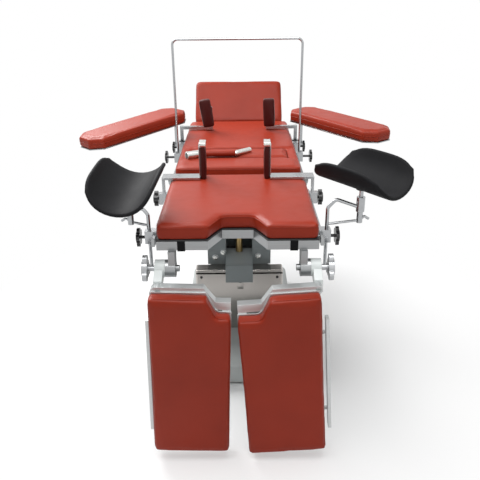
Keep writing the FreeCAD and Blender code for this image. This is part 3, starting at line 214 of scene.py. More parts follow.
class Socket:
    """An output of a shader node that takes part in sums."""

    def __init__(self, finish, link):
        self.finish = finish
        self.link = link

    def __add__(self, other):
        return self.finish.maths("ADD", self, other)

    def __sub__(self, other):
        return self.finish.maths("SUBTRACT", self, other)

    def __rsub__(self, other):
        return self.finish.maths("SUBTRACT", other, self)

    def __mul__(self, other):
        return self.finish.maths("MULTIPLY", self, other)

    __radd__ = __add__
    __rmul__ = __mul__


class Finish:
    """A material and the nodes that it is made of."""

    def __init__(self, name):
        self.material = bpy.data.materials.new(name)
        self.material.use_nodes = True
        self.tree = self.material.node_tree
        self.tree.nodes.clear()
        self.place = self.node("ShaderNodeTexCoord", output="Object")

    def node(self, kind, settings=None, output=0, **inputs):
        """Adds a node; its settings come first, then the values or links of its sockets."""
        made = self.tree.nodes.new(kind)
        for key, value in (settings or {}).items():
            if key == "stops":
                self.set_stops(made.color_ramp, value)
            else:
                setattr(made, key, value)
        for key, value in inputs.items():
            socket = made.inputs[int(key[1:])] if key[0] == "_" else made.inputs[key.replace("_", " ")]
            if isinstance(value, Socket):
                self.tree.links.new(value.link, socket)
            else:
                socket.default_value = value
        return Socket(self, made.outputs[output])

    @staticmethod
    def set_stops(ramp, stops):
        """Puts the stops of a ramp at their places."""
        while len(ramp.elements) < len(stops):
            ramp.elements.new(1)
        for element, (at, shade) in zip(ramp.elements, stops):
            element.position = at
            element.color = (*shade, 1) if len(shade) == 3 else (shade[0],) * 3 + (1,)

    def maths(self, operation, first, second):
        return self.node("ShaderNodeMath", {"operation": operation}, _0=first, _1=second)

    def stretched(self, scale):
        """Object coordinates that are scaled apart along the axes."""
        return self.node("ShaderNodeMapping", Vector=self.place, Scale=scale)

    def noise(self, scale, detail=3.0, place=None, roughness=0.5):
        return self.node("ShaderNodeTexNoise", Vector=place or self.place, Scale=scale, Detail=detail,
                         Roughness=roughness)

    def blend(self, factor, first, second):
        """A colour between two."""
        return self.node("ShaderNodeMix", {"data_type": "RGBA"}, output=2, _0=factor, _6=first, _7=second)

    def bump(self, height, strength, distance, normal=None):
        extra = {"Normal": normal} if normal else {}
        return self.node("ShaderNodeBump", Height=height, Strength=strength, Distance=distance, **extra)

    def surface(self, **inputs):
        """Ends the tree in a Principled shader with these inputs."""
        return self.ended(self.node("ShaderNodeBsdfPrincipled", **inputs))

    def ended(self, shader):
        """Links a shader to the material's end."""
        end = self.tree.nodes.new("ShaderNodeOutputMaterial")
        self.tree.links.new(shader.link, end.inputs["Surface"])
        return self.material


def shade(colour, factor):
    """A colour made lighter or darker, with its alpha."""
    return tuple(min(channel * factor, 1.0) for channel in colour[:3]) + (1.0,)


def vinyl_finish(name, colour, gloss=0.40):
    """Coated cloth with a fine leather grain and faint wear."""
    finish = Finish(name)
    clouds = finish.noise(7.0, 4.0)
    tint = finish.blend(clouds, shade(colour, 0.82), shade(colour, 1.20))
    grain = finish.node("ShaderNodeTexVoronoi", {"feature": "DISTANCE_TO_EDGE"}, Vector=finish.place,
                        Scale=620.0)
    soft = finish.noise(55.0, 3.0)
    height = grain * 0.6 + soft * 0.8
    skin = finish.bump(height, 0.16, 0.0006)
    slack = finish.bump(finish.noise(9.0, 1.5), 0.25, 0.004, skin)
    rough = finish.noise(30.0, 2.0) * 0.16 + (gloss - 0.08)
    return finish.surface(Base_Color=tint, Roughness=rough, Normal=slack, Specular_IOR_Level=0.20, IOR=1.46)


def steel_finish(name, colour, rough, stretch, edge=0.0008, depth=0.10):
    """Worked steel with streaks drawn out along its length."""
    finish = Finish(name)
    streaks = finish.noise(1.0, 3.0, finish.stretched(stretch))
    clouds = finish.noise(14.0, 3.0)
    tint = finish.blend(streaks * 0.6 + clouds * 0.4, shade(colour, 0.82), shade(colour, 1.12))
    worn = clouds * 0.14 + streaks * 0.14 + (rough - 0.14)
    soft_edge = finish.node("ShaderNodeBevel", {"samples": 4}, Radius=edge)
    skin = finish.bump(streaks, depth, 0.0003, soft_edge)
    return finish.surface(Base_Color=tint, Metallic=1.0, Roughness=worn, Normal=skin)


def paint_finish(name, colour, rough=0.42, grain=260.0, depth=0.12):
    """Baked paint over a casting, with slight orange peel and dulled patches."""
    finish = Finish(name)
    clouds = finish.noise(9.0, 4.0)
    tint = finish.blend(clouds, shade(colour, 0.86), shade(colour, 1.12))
    peel = finish.noise(grain, 2.0)
    soft_edge = finish.node("ShaderNodeBevel", {"samples": 4}, Radius=0.0015)
    skin = finish.bump(peel, depth, 0.0004, soft_edge)
    return finish.surface(Base_Color=tint, Roughness=clouds * 0.14 + (rough - 0.07), Normal=skin)


def plastic_finish(name, colour, rough=0.24, speck=420.0):
    """Moulded plastic, rubbed slightly dull in places."""
    finish = Finish(name)
    clouds = finish.noise(40.0, 3.0)
    tint = finish.blend(clouds, shade(colour, 0.75), shade(colour, 1.35))
    soft_edge = finish.node("ShaderNodeBevel", {"samples": 4}, Radius=0.0012)
    skin = finish.bump(finish.noise(speck, 2.0), 0.06, 0.0003, soft_edge)
    return finish.surface(Base_Color=tint, Roughness=clouds * 0.16 + (rough - 0.08), Normal=skin)


def foam_finish(name, colour):
    """Skinned black foam with a matt sheen and a fine pebble."""
    finish = Finish(name)
    clouds = finish.noise(18.0, 4.0)
    tint = finish.blend(clouds, shade(colour, 0.70), shade(colour, 1.55))
    pebble = finish.node("ShaderNodeTexVoronoi", Vector=finish.place, Scale=480.0)
    skin = finish.bump(pebble * 0.5 + clouds * 0.8, 0.14, 0.0007)
    return finish.surface(Base_Color=tint, Roughness=clouds * 0.16 + 0.52, Normal=skin,
                          Specular_IOR_Level=0.07)


def webbing_finish(name, colour):
    """Woven strap."""
    finish = Finish(name)
    across = finish.node("ShaderNodeTexWave", {"bands_direction": "X"}, Vector=finish.place, Scale=230.0)
    along = finish.node("ShaderNodeTexWave", {"bands_direction": "Z"}, Vector=finish.place, Scale=230.0)
    weave = across * along
    tint = finish.blend(weave, shade(colour, 0.6), shade(colour, 1.8))
    return finish.surface(Base_Color=tint, Roughness=0.85, Normal=finish.bump(weave, 0.5, 0.0006),
                          Specular_IOR_Level=0.15)


def new_piece(name, mesh, body, material):
    """Links a finished mesh as a piece of a body."""
    piece = bpy.data.objects.new(name, mesh)
    bpy.context.scene.collection.objects.link(piece)
    piece.data.materials.clear()
    piece.data.materials.append(material)
    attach(piece, body)
    return piece


def smooth_piece(name, shape, body, finish):
    """Ends a bmesh as a smooth-shaded piece."""
    bmesh.ops.recalc_face_normals(shape, faces=shape.faces)
    for face in shape.faces:
        face.smooth = True
    mesh = bpy.data.meshes.new(name)
    shape.to_mesh(mesh)
    shape.free()
    return new_piece(name, mesh, body, FINISHES[finish])


def bevel_edges(shape, edges, width, segments=3):
    """Rounds these edges."""
    bmesh.ops.bevel(shape, geom=edges, offset=width, segments=segments, profile=0.5, affect="EDGES",
                    material=-1)


def cut_away(shape, place, normal):
    """Cuts off what lies behind a plane and closes the cut."""
    cut = bmesh.ops.bisect_plane(shape, geom=shape.verts[:] + shape.edges[:] + shape.faces[:], plane_co=place,
                                 plane_no=normal, clear_inner=True)
    rim = [part for part in cut["geom_cut"] if isinstance(part, bmesh.types.BMEdge)]
    bmesh.ops.edgeloop_fill(shape, edges=rim)


def cut_copy(node, place, normal):
    """A copy of a node's mesh without what lies behind a plane."""
    shape = bmesh.new()
    shape.from_mesh(copied_solid(node))
    cut_away(shape, place, normal)
    mesh = bpy.data.meshes.new(node + "_cut")
    shape.to_mesh(mesh)
    shape.free()
    return mesh


def stud(name, centre, axis, radius, depth, body, finish, segments=40, taper=1.0, soft=0.12):
    """A round or six-sided piece along an axis, with its edges rounded."""
    shape = bmesh.new()
    bmesh.ops.create_cone(shape, cap_ends=True, segments=segments, radius1=radius, radius2=radius * taper,
                          depth=depth)
    rims = [edge for edge in shape.edges if len(edge.link_faces) == 2 and edge.calc_face_angle() > 1.0]
    bevel_edges(shape, rims, min(radius, depth) * soft)
    turn = Vector(axis).to_track_quat("Z", "Y").to_matrix().to_4x4()
    bmesh.ops.transform(shape, matrix=Matrix.Translation(centre) @ turn, verts=shape.verts)
    piece = smooth_piece(name, shape, body, finish)
    flat_faces(piece)
    return piece


def flat_faces(piece):
    """Keeps broad faces flat and lets the rounded edges shade smoothly."""
    piece.data.set_sharp_from_angle(angle=math.radians(35))


def block(name, low, high, body, finish, soft=0.0015):
    """A plate or block between two corners, with its edges rounded."""
    low, high = Vector(low), Vector(high)
    shape = bmesh.new()
    bmesh.ops.create_cube(shape, size=1.0)
    bmesh.ops.scale(shape, vec=high - low, verts=shape.verts)
    bmesh.ops.translate(shape, vec=(low + high) / 2, verts=shape.verts)
    bevel_edges(shape, shape.edges[:], soft)
    piece = smooth_piece(name, shape, body, finish)
    flat_faces(piece)
    return piece


def copied_solid(node):
    """A CAD node's mesh with its loose triangles joined."""
    shape = bmesh.new()
    shape.from_mesh(NODES[node].data)
    bmesh.ops.remove_doubles(shape, verts=shape.verts, dist=0.00002)
    bmesh.ops.recalc_face_normals(shape, faces=shape.faces)
    mesh = bpy.data.meshes.new(node + "_copy")
    shape.to_mesh(mesh)
    shape.free()
    return mesh


def evaluated(thing):
    """The mesh of an object as its modifiers leave it."""
    graph = bpy.context.evaluated_depsgraph_get()
    return bpy.data.meshes.new_from_object(thing.evaluated_get(graph))


def remeshed(mesh, voxel, turn):
    """The mesh cut into small even faces, in rows along the sides of the turned piece."""
    mesh.transform(turn.inverted())
    holder = bpy.data.objects.new("remesh_holder", mesh)
    bpy.context.scene.collection.objects.link(holder)
    change = holder.modifiers.new("voxels", "REMESH")
    change.mode = "VOXEL"
    change.voxel_size = voxel
    fine = evaluated(holder)
    bpy.data.objects.remove(holder)
    fine.transform(turn)
    return fine


def blown_up(mesh):
    """The mesh after a short cloth simulation under inner pressure."""
    scene = bpy.context.scene
    scene.frame_set(1)
    holder = bpy.data.objects.new("cloth_holder", mesh)
    scene.collection.objects.link(holder)
    cloth = holder.modifiers.new("cloth", "CLOTH")
    cloth.settings.use_pressure = True
    cloth.settings.uniform_pressure_force = 4.0
    cloth.settings.quality = 4
    cloth.settings.effector_weights.gravity = 0.0
    cloth.point_cache.frame_start = 1
    cloth.point_cache.frame_end = 20
    for step in range(1, 21):
        scene.frame_set(step)
    full = evaluated(holder)
    bpy.data.objects.remove(holder)
    scene.frame_set(1)
    return full


def set_places(mesh, places):
    """Moves all vertices of a mesh in one call."""
    mesh.vertices.foreach_set("co", [part for place in places for part in place])
    mesh.update()


def cushion(node, up, material, voxel, crown, side, solid=None, turn=Matrix(), spread=0.0):
    """Foam pad: a simulated cover that crowns on top and stays flat where it rests."""
    sizes = bpy.context.scene.table_sizes
    start = remeshed(solid or copied_solid(node), voxel, turn)
    normals = [point.normal.copy() for point in start.vertices]
    places = [point.co - normal * sizes.pad_shrink for point, normal in zip(start.vertices, normals)]
    set_places(start, places)
    floor = min(place.dot(up) for place in places) - sizes.pad_shrink
    middle = sum(place.x for place in places) / len(places)
    full = blown_up(start)
    ends = [point.co.copy() for point in full.vertices]
    spots = []
    for place, normal, end in zip(places, normals, ends):
        move = end - place
        sink = min(move.dot(normal), 0.0)
        move -= normal * sink * SINK_HELD
        rise = up * move.dot(up)
        across = move - rise
        if across.length > side:
            across *= side / across.length
        if rise.length > crown:
            rise *= crown / rise.length
        spot = place + rise + across
        if normal.x * (place.x - middle) > 0:
            spot.x += normal.x * spread
        depth = floor - spot.dot(up)
        if depth > 0 or (spot.dot(up) - floor < 2 * sizes.pad_shrink and rise.dot(up) < 0):
            spot += up * depth
        spots.append(spot)
    set_places(full, spots)
    shape = bmesh.new()
    shape.from_mesh(full)
    for _ in range(2):
        bmesh.ops.smooth_vert(shape, verts=shape.verts, factor=0.5, use_axis_x=True, use_axis_y=True,
                              use_axis_z=True)
    for face in shape.faces:
        face.smooth = True
    shape.to_mesh(full)
    shape.free()
    piece = new_piece(node + "_cover", full, BODY_OF[node], material)
    finer = piece.modifiers.new("finer", "SUBSURF")
    finer.levels = 1
    finer.render_levels = 1
    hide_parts(node)
    return piece


def loops_of(edges):
    """The closed rows of points that these edges make."""
    left = set(edges)
    rows = []
    while left:
        edge = min(left, key=lambda each: each.index)
        left.remove(edge)
        first, point = edge.verts
        row = [first.co.copy(), point.co.copy()]
        while point is not first:
            follow = [each for each in point.link_edges if each in left]
            if not follow:
                break
            edge = follow[0]
            left.remove(edge)
            point = edge.other_vert(point)
            row.append(point.co.copy())
        if point is first:
            rows.append(row[:-1])
    return rows


def welt(cover, up, drop):
    """A sewn edge: a thin cord in the cover's cloth, laid round the cover below its top."""
    sizes = bpy.context.scene.table_sizes
    top = max(point.co.dot(up) for point in cover.data.vertices)
    shape = bmesh.new()
    shape.from_mesh(cover.data)
    cut = bmesh.ops.bisect_plane(shape, geom=shape.verts[:] + shape.edges[:] + shape.faces[:],
                                 plane_co=up * (top - drop), plane_no=up)
    shape.edges.index_update()
    line = bpy.data.curves.new(cover.name + "_welt", "CURVE")
    line.dimensions = "3D"
    for row in loops_of([part for part in cut["geom_cut"] if isinstance(part, bmesh.types.BMEdge)]):
        if len(row) * sizes.small_voxel < WELT_SHORTEST:
            continue
        for _ in range(4):
            row = [(row[i - 1] + row[i] * 2 + row[(i + 1) % len(row)]) / 4 for i in range(len(row))]
        spline = line.splines.new("POLY")
        spline.points.add(len(row) - 1)
        spline.points.foreach_set("co", [part for place in row for part in (*place, 1.0)])
        spline.use_cyclic_u = True
    shape.free()
    line.bevel_depth = WELT_RADIUS
    line.bevel_resolution = 2
    holder = bpy.data.objects.new("welt_holder", line)
    bpy.context.scene.collection.objects.link(holder)
    mesh = evaluated(holder)
    bpy.data.objects.remove(holder)
    for face in mesh.polygons:
        face.use_smooth = True
    return new_piece(cover.name + "_welt", mesh, body_of_cover(cover), FINISHES["vinyl"])


def body_of_cover(cover):
    """The body that a cover rides on."""
    return BODY_OF[cover.name.removesuffix("_cover")]


class TABLE_OT_stage(bpy.types.Operator):
    """Floor, lamps, world and camera"""

    bl_idname = "table.stage"
    bl_label = "Stage"

    def execute(self, context):
        scene = context.scene
        scene.view_settings.view_transform = "Standard"
        self.floor()
        self.world(scene)
        for name, place, aim, size, power in (
                ("key", (-1.7, 2.0, 3.0), (0, 0, 0.6), 1.8, 140.0),
                ("overhead", (-0.2, -0.9, 3.6), (0, 0, 0.6), 2.6, 98.0),
                ("front", (1.4, -3.6, 2.2), (0, 0, 0.5), 3.0, 10.0)):
            lamp = bpy.data.lights.new(name, "AREA")
            lamp.energy = power
            lamp.size = size
            light = bpy.data.objects.new(name, lamp)
            light.location = place
            light.rotation_euler = (Vector(aim) - Vector(place)).to_track_quat("-Z", "Y").to_euler()
            scene.collection.objects.link(light)
        self.camera(scene)
        return {"FINISHED"}

    @staticmethod
    def floor():
        shape = bmesh.new()
        bmesh.ops.create_grid(shape, x_segments=1, y_segments=1, size=60.0)
        mesh = bpy.data.meshes.new("floor")
        shape.to_mesh(mesh)
        shape.free()
        floor = bpy.data.objects.new("floor", mesh)
        bpy.context.scene.collection.objects.link(floor)
        finish = Finish("pale_floor")
        tint = finish.blend(finish.noise(1.5, 2.0), (0.90, 0.90, 0.90, 1), (0.94, 0.94, 0.94, 1))
        cloth = finish.node("ShaderNodeBsdfPrincipled", Base_Color=tint, Roughness=0.8,
                            Specular_IOR_Level=0.1)
        white = finish.node("ShaderNodeEmission", Strength=1.0)
        reach = finish.node("ShaderNodeVectorMath", {"operation": "LENGTH"}, output=1, _0=finish.place)
        away = finish.node("ShaderNodeMapRange", Value=reach, From_Min=0.45, From_Max=1.25)
        seen = finish.maths("MAXIMUM", finish.node("ShaderNodeLightPath"),
                            finish.node("ShaderNodeLightPath", output="Is Glossy Ray"))
        mixed = finish.node("ShaderNodeMixShader", Fac=away * seen, _1=cloth, _2=white)
        mesh.materials.append(finish.ended(mixed))

    @staticmethod
    def world(scene):
        world = bpy.data.worlds.new("studio")
        scene.world = world
        world.use_nodes = True
        tree = world.node_tree
        tree.nodes.clear()
        rays = tree.nodes.new("ShaderNodeLightPath")
        seen = tree.nodes.new("ShaderNodeMath")
        seen.operation = "MAXIMUM"
        tree.links.new(rays.outputs["Is Camera Ray"], seen.inputs[0])
        tree.links.new(rays.outputs["Is Glossy Ray"], seen.inputs[1])
        level = tree.nodes.new("ShaderNodeMapRange")
        level.inputs["To Min"].default_value = 0.31
        level.inputs["To Max"].default_value = 1.0
        tree.links.new(seen.outputs[0], level.inputs["Value"])
        glow = tree.nodes.new("ShaderNodeBackground")
        glow.inputs["Color"].default_value = (1, 1, 1, 1)
        tree.links.new(level.outputs[0], glow.inputs["Strength"])
        end = tree.nodes.new("ShaderNodeOutputWorld")
        tree.links.new(glow.outputs[0], end.inputs["Surface"])

    @staticmethod
    def camera(scene):
        level = math.cos(CAMERA_PITCH)
        forward = Vector((math.sin(CAMERA_YAW) * level, math.cos(CAMERA_YAW) * level,
                          -math.sin(CAMERA_PITCH)))
        flat = Vector((math.cos(CAMERA_YAW), -math.sin(CAMERA_YAW), 0))
        steep = flat.cross(forward)
        right = flat * math.cos(CAMERA_ROLL) + steep * math.sin(CAMERA_ROLL)
        above = steep * math.cos(CAMERA_ROLL) - flat * math.sin(CAMERA_ROLL)
        turn = Matrix((right, above, -forward)).transposed().to_4x4()
        lens = bpy.data.cameras.new("photo_camera")
        lens.sensor_width = 36.0
        lens.lens = CAMERA_LENS
        lens.clip_end = 200.0
        camera = bpy.data.objects.new("photo_camera", lens)
        camera.matrix_world = Matrix.Translation(CAMERA_PLACE) @ turn
        scene.collection.objects.link(camera)
        scene.camera = camera


FINISHES = {}


def make_finishes():
    """Makes every material once."""
    colours = bpy.context.scene.table_colours
    FINISHES.update({
        "vinyl": vinyl_finish("red_vinyl_cover", colours.vinyl),
        # The side pads' red vinyl, darkened as painted shade
        "dark_vinyl": vinyl_finish("dark_vinyl_cover", colours.dark_vinyl, 0.36),
        "long_steel": steel_finish("steel_drawn_lengthwise", colours.steel, 0.34, (260, 5, 260)),
        # A copy of the steel darkened by 0.85, as painted shade on the seat frame and the bridge plate
        "shaded_cross_steel": steel_finish("steel_drawn_across", shade(colours.steel, 0.85), 0.34, (5, 260, 260)),
        "upright_steel": steel_finish("steel_drawn_upright", colours.steel, 0.32, (260, 260, 5)),
        "leg_steel": steel_finish("satin_leg_tube", (0.60, 0.62, 0.62), 0.50, (5, 260, 260)),
        "polished": steel_finish("polished_sheet", (0.47, 0.445, 0.42), 0.20, (220, 220, 3), 0.002, 0.04),
        "rod_chrome": steel_finish("chromed_rod", (0.43, 0.44, 0.45), 0.22, (60, 60, 60), 0.0008, 0.03),
        # A lighter copy of the chromed rod: its extra brightness is painted highlight on the cheek bolts, the
        # crank and the side pads' caps
        "bright_chrome": steel_finish("bright_chrome", (0.72, 0.73, 0.70), 0.20, (60, 60, 60), 0.0008, 0.03),
        "alloy_knob": steel_finish("cast_alloy_knob", (0.44, 0.45, 0.46), 0.34, (80, 80, 80), 0.002, 0.10),
        "brass": steel_finish("turned_brass", (0.62, 0.44, 0.20), 0.30, (40, 40, 500), 0.001, 0.2),
        "grey_paint": paint_finish("grey_hammered_paint", colours.grey_paint),
        "light_paint": paint_finish("light_grey_paint", colours.light_paint, 0.36),
        "base_paint": paint_finish("base_grey_paint", colours.base_paint, 0.40),
        "foam": foam_finish("black_moulded_foam", colours.rubber),
        "black_knob": plastic_finish("black_knob_plastic", (0.016, 0.016, 0.017, 1)),
        "board": plastic_finish("black_board", (0.012, 0.012, 0.013, 1), 0.5),
        "foot": plastic_finish("foot_rubber", (0.02, 0.02, 0.02, 1), 0.7, 200.0),
        "webbing": webbing_finish("black_webbing", (0.007, 0.007, 0.008)),
    })


NODE_FINISH = {
    "base_cover": "base_paint", "levelling_feet": "foot",
    "column_casing": "polished", "column_lid": "polished",
    "lift_cylinder": "upright_steel", "lift_sleeve": "polished", "piston_rod": "rod_chrome",
    "tilt_head": "grey_paint", "height_screw": "brass", "tilt_cradle": "grey_paint",
    # The seat beams' dark grey paint is partly their own paint and partly painted shade under the seat; the
    # seat frame's darker steel is painted shade
    "seat_beams": "grey_paint", "seat_frame": "shaded_cross_steel", "seat_board": "board",
    "seat_rails": "long_steel", "pad_straps": "webbing",
    "back_frame": "long_steel", "back_board": "board", "back_rails": "long_steel",
    "bridge_plate": "shaded_cross_steel", "head_frame": "long_steel", "crank_handle": "bright_chrome",
    "leg_joint": "light_paint", "leg_frame": "leg_steel", "leg_knob": "alloy_knob",
    "lateral_arm": "rod_chrome", "lateral_knob": "black_knob", "shoulder_arm": "rod_chrome",
    "arm_post": "rod_chrome", "arm_knob": "black_knob",
    "holder_rod": "rod_chrome", "holder_knob": "black_knob", "saddle_neck": "rod_chrome",
    "screen_frame": "rod_chrome", "screen_knob": "black_knob",
}


class TABLE_OT_finishes(bpy.types.Operator):
    """Materials of the metal and plastic parts"""

    bl_idname = "table.finishes"
    bl_label = "Finishes"

    def execute(self, context):
        make_finishes()
        for node, thing in NODES.items():
            plain = node.removesuffix("_left").removesuffix("_right")
            if plain in NODE_FINISH:
                thing.data.materials.clear()
                thing.data.materials.append(FINISHES[NODE_FINISH[plain]])
        return {"FINISHED"}


class TABLE_OT_top_pads(bpy.types.Operator):
    """Cushions of the seat, back, bridge and head"""

    bl_idname = "table.top_pads"
    bl_label = "Top pads"

    def execute(self, context):
        sizes = context.scene.table_sizes
        flat = Matrix()
        raised = Matrix.Rotation(HEAD_RAISE, 4, "X")
        for node, turn, voxel, spread in (
                ("seat_pad", flat, sizes.voxel, PAD_SPREAD), ("back_pad", flat, sizes.voxel, PAD_SPREAD),
                ("bridge_pad", flat, sizes.small_voxel, 0.0), ("head_pad", raised, sizes.voxel, PAD_SPREAD)):
            up = turn.to_3x3() @ UP
            cover = cushion(node, up, FINISHES["vinyl"], voxel, sizes.pad_crown,
                            sizes.pad_side, turn=turn, spread=spread)
            welt(cover, up, WELT_DROP)
        return {"FINISHED"}


class TABLE_OT_leg_pads(bpy.types.Operator):
    """Cushions of the two leg plates"""

    bl_idname = "table.leg_pads"
    bl_label = "Leg pads"

    def execute(self, context):
        sizes = context.scene.table_sizes
        for name, _ in SIDES:
            front = Vector((0, -1, 0))
            cover = cushion("leg_pad_" + name, front, FINISHES["vinyl"], sizes.voxel,
                            sizes.pad_crown, sizes.pad_side, spread=PAD_SPREAD)
            welt(cover, front, WELT_DROP)
        return {"FINISHED"}


class TABLE_OT_arm_boards(bpy.types.Operator):
    """Cushions of the two arm boards, with the plate and swivel under each"""

    bl_idname = "table.arm_boards"
    bl_label = "Arm boards"

    def execute(self, context):
        sizes = context.scene.table_sizes
        for name, _ in SIDES:
            node = "arm_board_" + name
            pivot = ARM_PIVOT[name]
            swing, drop = (math.radians(angle) for angle in ARM_ANGLES[name])
            turn = Matrix.Rotation(swing, 4, "Z") @ Matrix.Rotation(drop, 4, "Y")
            up = turn.to_3x3() @ UP
            cover = cushion(node, up, FINISHES["vinyl"], sizes.small_voxel, sizes.pad_crown,
                            sizes.pad_side, solid=cut_copy(node, pivot + up * ARM_FOAM_FOOT, up), turn=turn)
            welt(cover, up, ARM_WELT_DROP)
            plate = bmesh.new()
            plate.from_mesh(copied_solid(node))
            cut_away(plate, pivot + up * ARM_PLATE_FOOT, up)
            cut_away(plate, pivot + up * ARM_FOAM_FOOT, -up)
            flat_faces(smooth_piece("arm_plate_" + name, plate, BODY_OF[node],
                                    "long_steel"))
            stud("arm_swivel_" + name, pivot - Vector((0, 0, ARM_SWIVEL_DROP)), UP, ARM_SWIVEL_RADIUS,
                 ARM_SWIVEL_TALL, BODY_OF[node], "rod_chrome")
        return {"FINISHED"}


class TABLE_OT_side_pads(bpy.types.Operator):
    """Pads of the side and shoulder supports, their red vinyl darkened as painted shade, with bright caps on
    the side pads as painted highlight
    """

    bl_idname = "table.side_pads"
    bl_label = "Side pads"

    def execute(self, context):
        sizes = context.scene.table_sizes
        for name, _ in SIDES:
            shoulder = "shoulder_pad_" + name
            cushion(shoulder, UP, FINISHES["dark_vinyl"], sizes.small_voxel, SIDE_CROWN,
                    SIDE_SWELL)
            lateral = "lateral_pad_" + name
            low, high = (Vector(corner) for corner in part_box(lateral))
            under = Vector((low.x, low.y, high.z - LIT_CAP_TALL))
            cushion(lateral, UP, FINISHES["dark_vinyl"], sizes.small_voxel, SIDE_CROWN,
                    SIDE_SWELL, solid=cut_copy(lateral, under, -UP))
            # A bright chrome cap on top of each side pad, as painted highlight of the pad's lit top
            proud = Vector((LIT_CAP_OVERLAP, LIT_CAP_OVERLAP, 0))
            block("lateral_cap_" + name, under - proud, high + proud, BODY_OF[lateral],
                  "bright_chrome", LIT_CAP_ROUND)
        return {"FINISHED"}


class TABLE_OT_fittings(bpy.types.Operator):
    """Bolt heads, screws, the crank's red sleeve that paints a reflection, and other small fittings"""

    bl_idname = "table.fittings"
    bl_label = "Fittings"

    def execute(self, context):
        head = BODY_OF["tilt_head"]
        for index, (x, z) in enumerate(CHEEK_BOLTS):
            # Bolt heads in the lighter chrome, whose extra brightness is painted highlight
            stud(f"cheek_bolt_{index}", Vector((x, CHEEK_FRONT - BOLT_TALL / 2, z)), (0, 1, 0),
                 BOLT_RADIUS, BOLT_TALL, head, "bright_chrome", segments=6)
            stud(f"cheek_washer_{index}", Vector((x, CHEEK_FRONT - WASHER_TALL / 2, z)), (0, 1, 0),
                 WASHER_RADIUS, WASHER_TALL, head, "rod_chrome")
        low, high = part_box("tilt_head")
        back = high[1] - WEB_INSET
        block("head_web", (-HEAD_INNER_HALF, back - WEB_THICK, low[2] + WEB_FOOT),
              (HEAD_INNER_HALF, back, low[2] + WEB_TOP), head, "grey_paint")
        casing = BODY_OF["column_casing"]
        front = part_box("column_casing")[0][1]
        for side in (-1, 1):
            stud(f"casing_screw_{side + 1}", Vector((side * SCREW_X, front - SCREW_OUT, SCREW_Z)), (0, 1, 0),
                 SCREW_RADIUS, SCREW_TALL, casing, "black_knob")
        stud("casing_latch", Vector((LATCH_X, front - LATCH_OUT, LATCH_Z)), (0, 1, 0), LATCH_RADIUS,
             LATCH_TALL, casing, "black_knob")
        block("casing_latch_plate", (LATCH_PLATE_LOW[0], front - LATCH_PLATE_OUT, LATCH_PLATE_LOW[1]),
              (LATCH_PLATE_HIGH[0], front + LATCH_PLATE_SUNK, LATCH_PLATE_HIGH[1]), casing,
              "polished", LATCH_PLATE_ROUND)
        self.crank_sleeve()
        return {"FINISHED"}

    @staticmethod
    def crank_sleeve():
        """A red sleeve on the crank's middle run, which paints the reflection of the red vinyl in the
        polished rod, and a black disc that paints the shade inside the open end of its grip.
        """
        crank = BODY_OF["crank_handle"]
        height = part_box("crank_handle")[0][2] + CRANK_RISE
        start, end = (Vector((x, y, height)) for x, y in CRANK_REFLECTION_RUN)
        stud("crank_sleeve", (start + end) / 2, end - start, REFLECTION_SLEEVE_RADIUS,
             (end - start).length - REFLECTION_SLEEVE_SHORT, crank, "vinyl")
        grip, elbow = (Vector((x, y, height)) for x, y in CRANK_GRIP)
        way = (elbow - grip).normalized()
        # A black disc at the grip's end paints the shade inside the open tube
        stud("crank_mouth", grip - way * MOUTH_SHADE_OUT, way, MOUTH_SHADE_RADIUS, MOUTH_SHADE_TALL, crank,
             "black_knob")


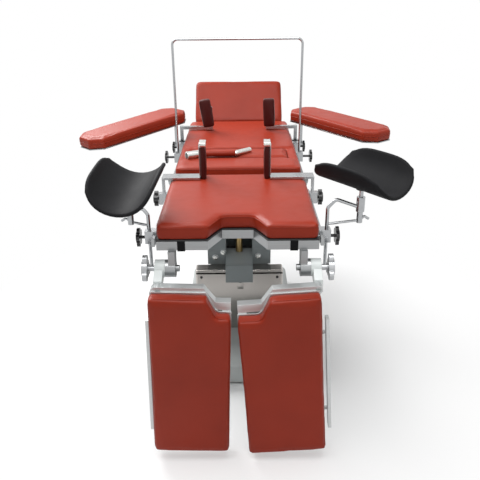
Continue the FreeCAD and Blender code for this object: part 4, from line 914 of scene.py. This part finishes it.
class TABLE_OT_saddles(bpy.types.Operator):
    """Moulded troughs that carry the legs"""

    bl_idname = "table.saddles"
    bl_label = "Leg saddles"

    def execute(self, context):
        for name, _ in SIDES:
            yaw, pitch, roll = (math.radians(angle) for angle in SADDLE_ANGLES[name])
            turn = (Matrix.Rotation(yaw, 4, "Z") @ Matrix.Rotation(pitch, 4, "X")
                    @ Matrix.Rotation(roll, 4, "Y"))
            shape = self.trough(context.scene.table_sizes)
            bmesh.ops.transform(shape, matrix=Matrix.Translation(SADDLE_VALLEY[name]) @ turn,
                                verts=shape.verts)
            piece = smooth_piece("saddle_shell_" + name, shape, "saddle_" + name, "foam")
            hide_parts("saddle_" + name)
            stud("saddle_mount_" + name, SADDLE_VALLEY[name] - Vector((0, 0, MOUNT_DROP)), UP, MOUNT_RADIUS,
                 MOUNT_TALL, "saddle_" + name, "foam", taper=MOUNT_TAPER)
        return {"FINISHED"}

    @staticmethod
    def trough(sizes):
        """A curved slab with half-round rims, lying on its valley."""
        shape = bmesh.new()
        bmesh.ops.create_cube(shape, size=2.0)
        bmesh.ops.subdivide_edges(shape, edges=shape.edges[:], cuts=15, use_grid_fill=True)
        arc = sizes.saddle_radius * sizes.saddle_half
        for point in shape.verts:
            u, v, w = point.co
            rim = math.sqrt(max(1 - w * w, 0.0)) * sizes.saddle_wall / 2
            reach = max(abs(u), abs(v))
            bend = (abs(u) ** CORNER_POWER + abs(v) ** CORNER_POWER) ** (1 / CORNER_POWER)
            pull = reach / bend if bend else 1.0
            wide = u * pull
            far = v * pull
            if abs(u) > SLAB_EDGE:
                wide += math.copysign(rim / arc, u)
            if abs(v) > SLAB_EDGE:
                far += math.copysign(rim / (sizes.saddle_length / 2), v)
            angle = wide * sizes.saddle_half
            radius = sizes.saddle_radius + (1 - w) * sizes.saddle_wall / 2
            point.co = (radius * math.sin(angle), far * sizes.saddle_length / 2,
                        sizes.saddle_radius - radius * math.cos(angle))
        return shape


class TABLE_PT_panel(bpy.types.Panel):
    """Steps that dress the table"""

    bl_label = "Operating Table"
    bl_idname = "TABLE_PT_panel"
    bl_space_type = "VIEW_3D"
    bl_region_type = "UI"
    bl_category = "Table"

    def draw(self, context):
        for step in STEPS:
            self.layout.operator(step.bl_idname)
        for group in (context.scene.table_sizes, context.scene.table_colours):
            for key in group.__annotations__:
                self.layout.prop(group, key)


STEPS = (TABLE_OT_stage, TABLE_OT_finishes, TABLE_OT_top_pads, TABLE_OT_leg_pads, TABLE_OT_arm_boards,
         TABLE_OT_side_pads, TABLE_OT_fittings, TABLE_OT_saddles)
CLASSES = (TableSizes, TableColours, *STEPS, TABLE_PT_panel)


def register():
    for each in CLASSES:
        bpy.utils.register_class(each)
    bpy.types.Scene.table_sizes = bpy.props.PointerProperty(type=TableSizes)
    bpy.types.Scene.table_colours = bpy.props.PointerProperty(type=TableColours)


def unregister():
    del bpy.types.Scene.table_colours
    del bpy.types.Scene.table_sizes
    for each in reversed(CLASSES):
        bpy.utils.unregister_class(each)


def main():
    register()
    table = bpy.ops.table
    for step in (table.stage, table.finishes, table.top_pads, table.leg_pads, table.arm_boards,
                 table.side_pads, table.fittings, table.saddles):
        step()
    bpy.context.view_layer.update()


if __name__ == "__main__":
    main()
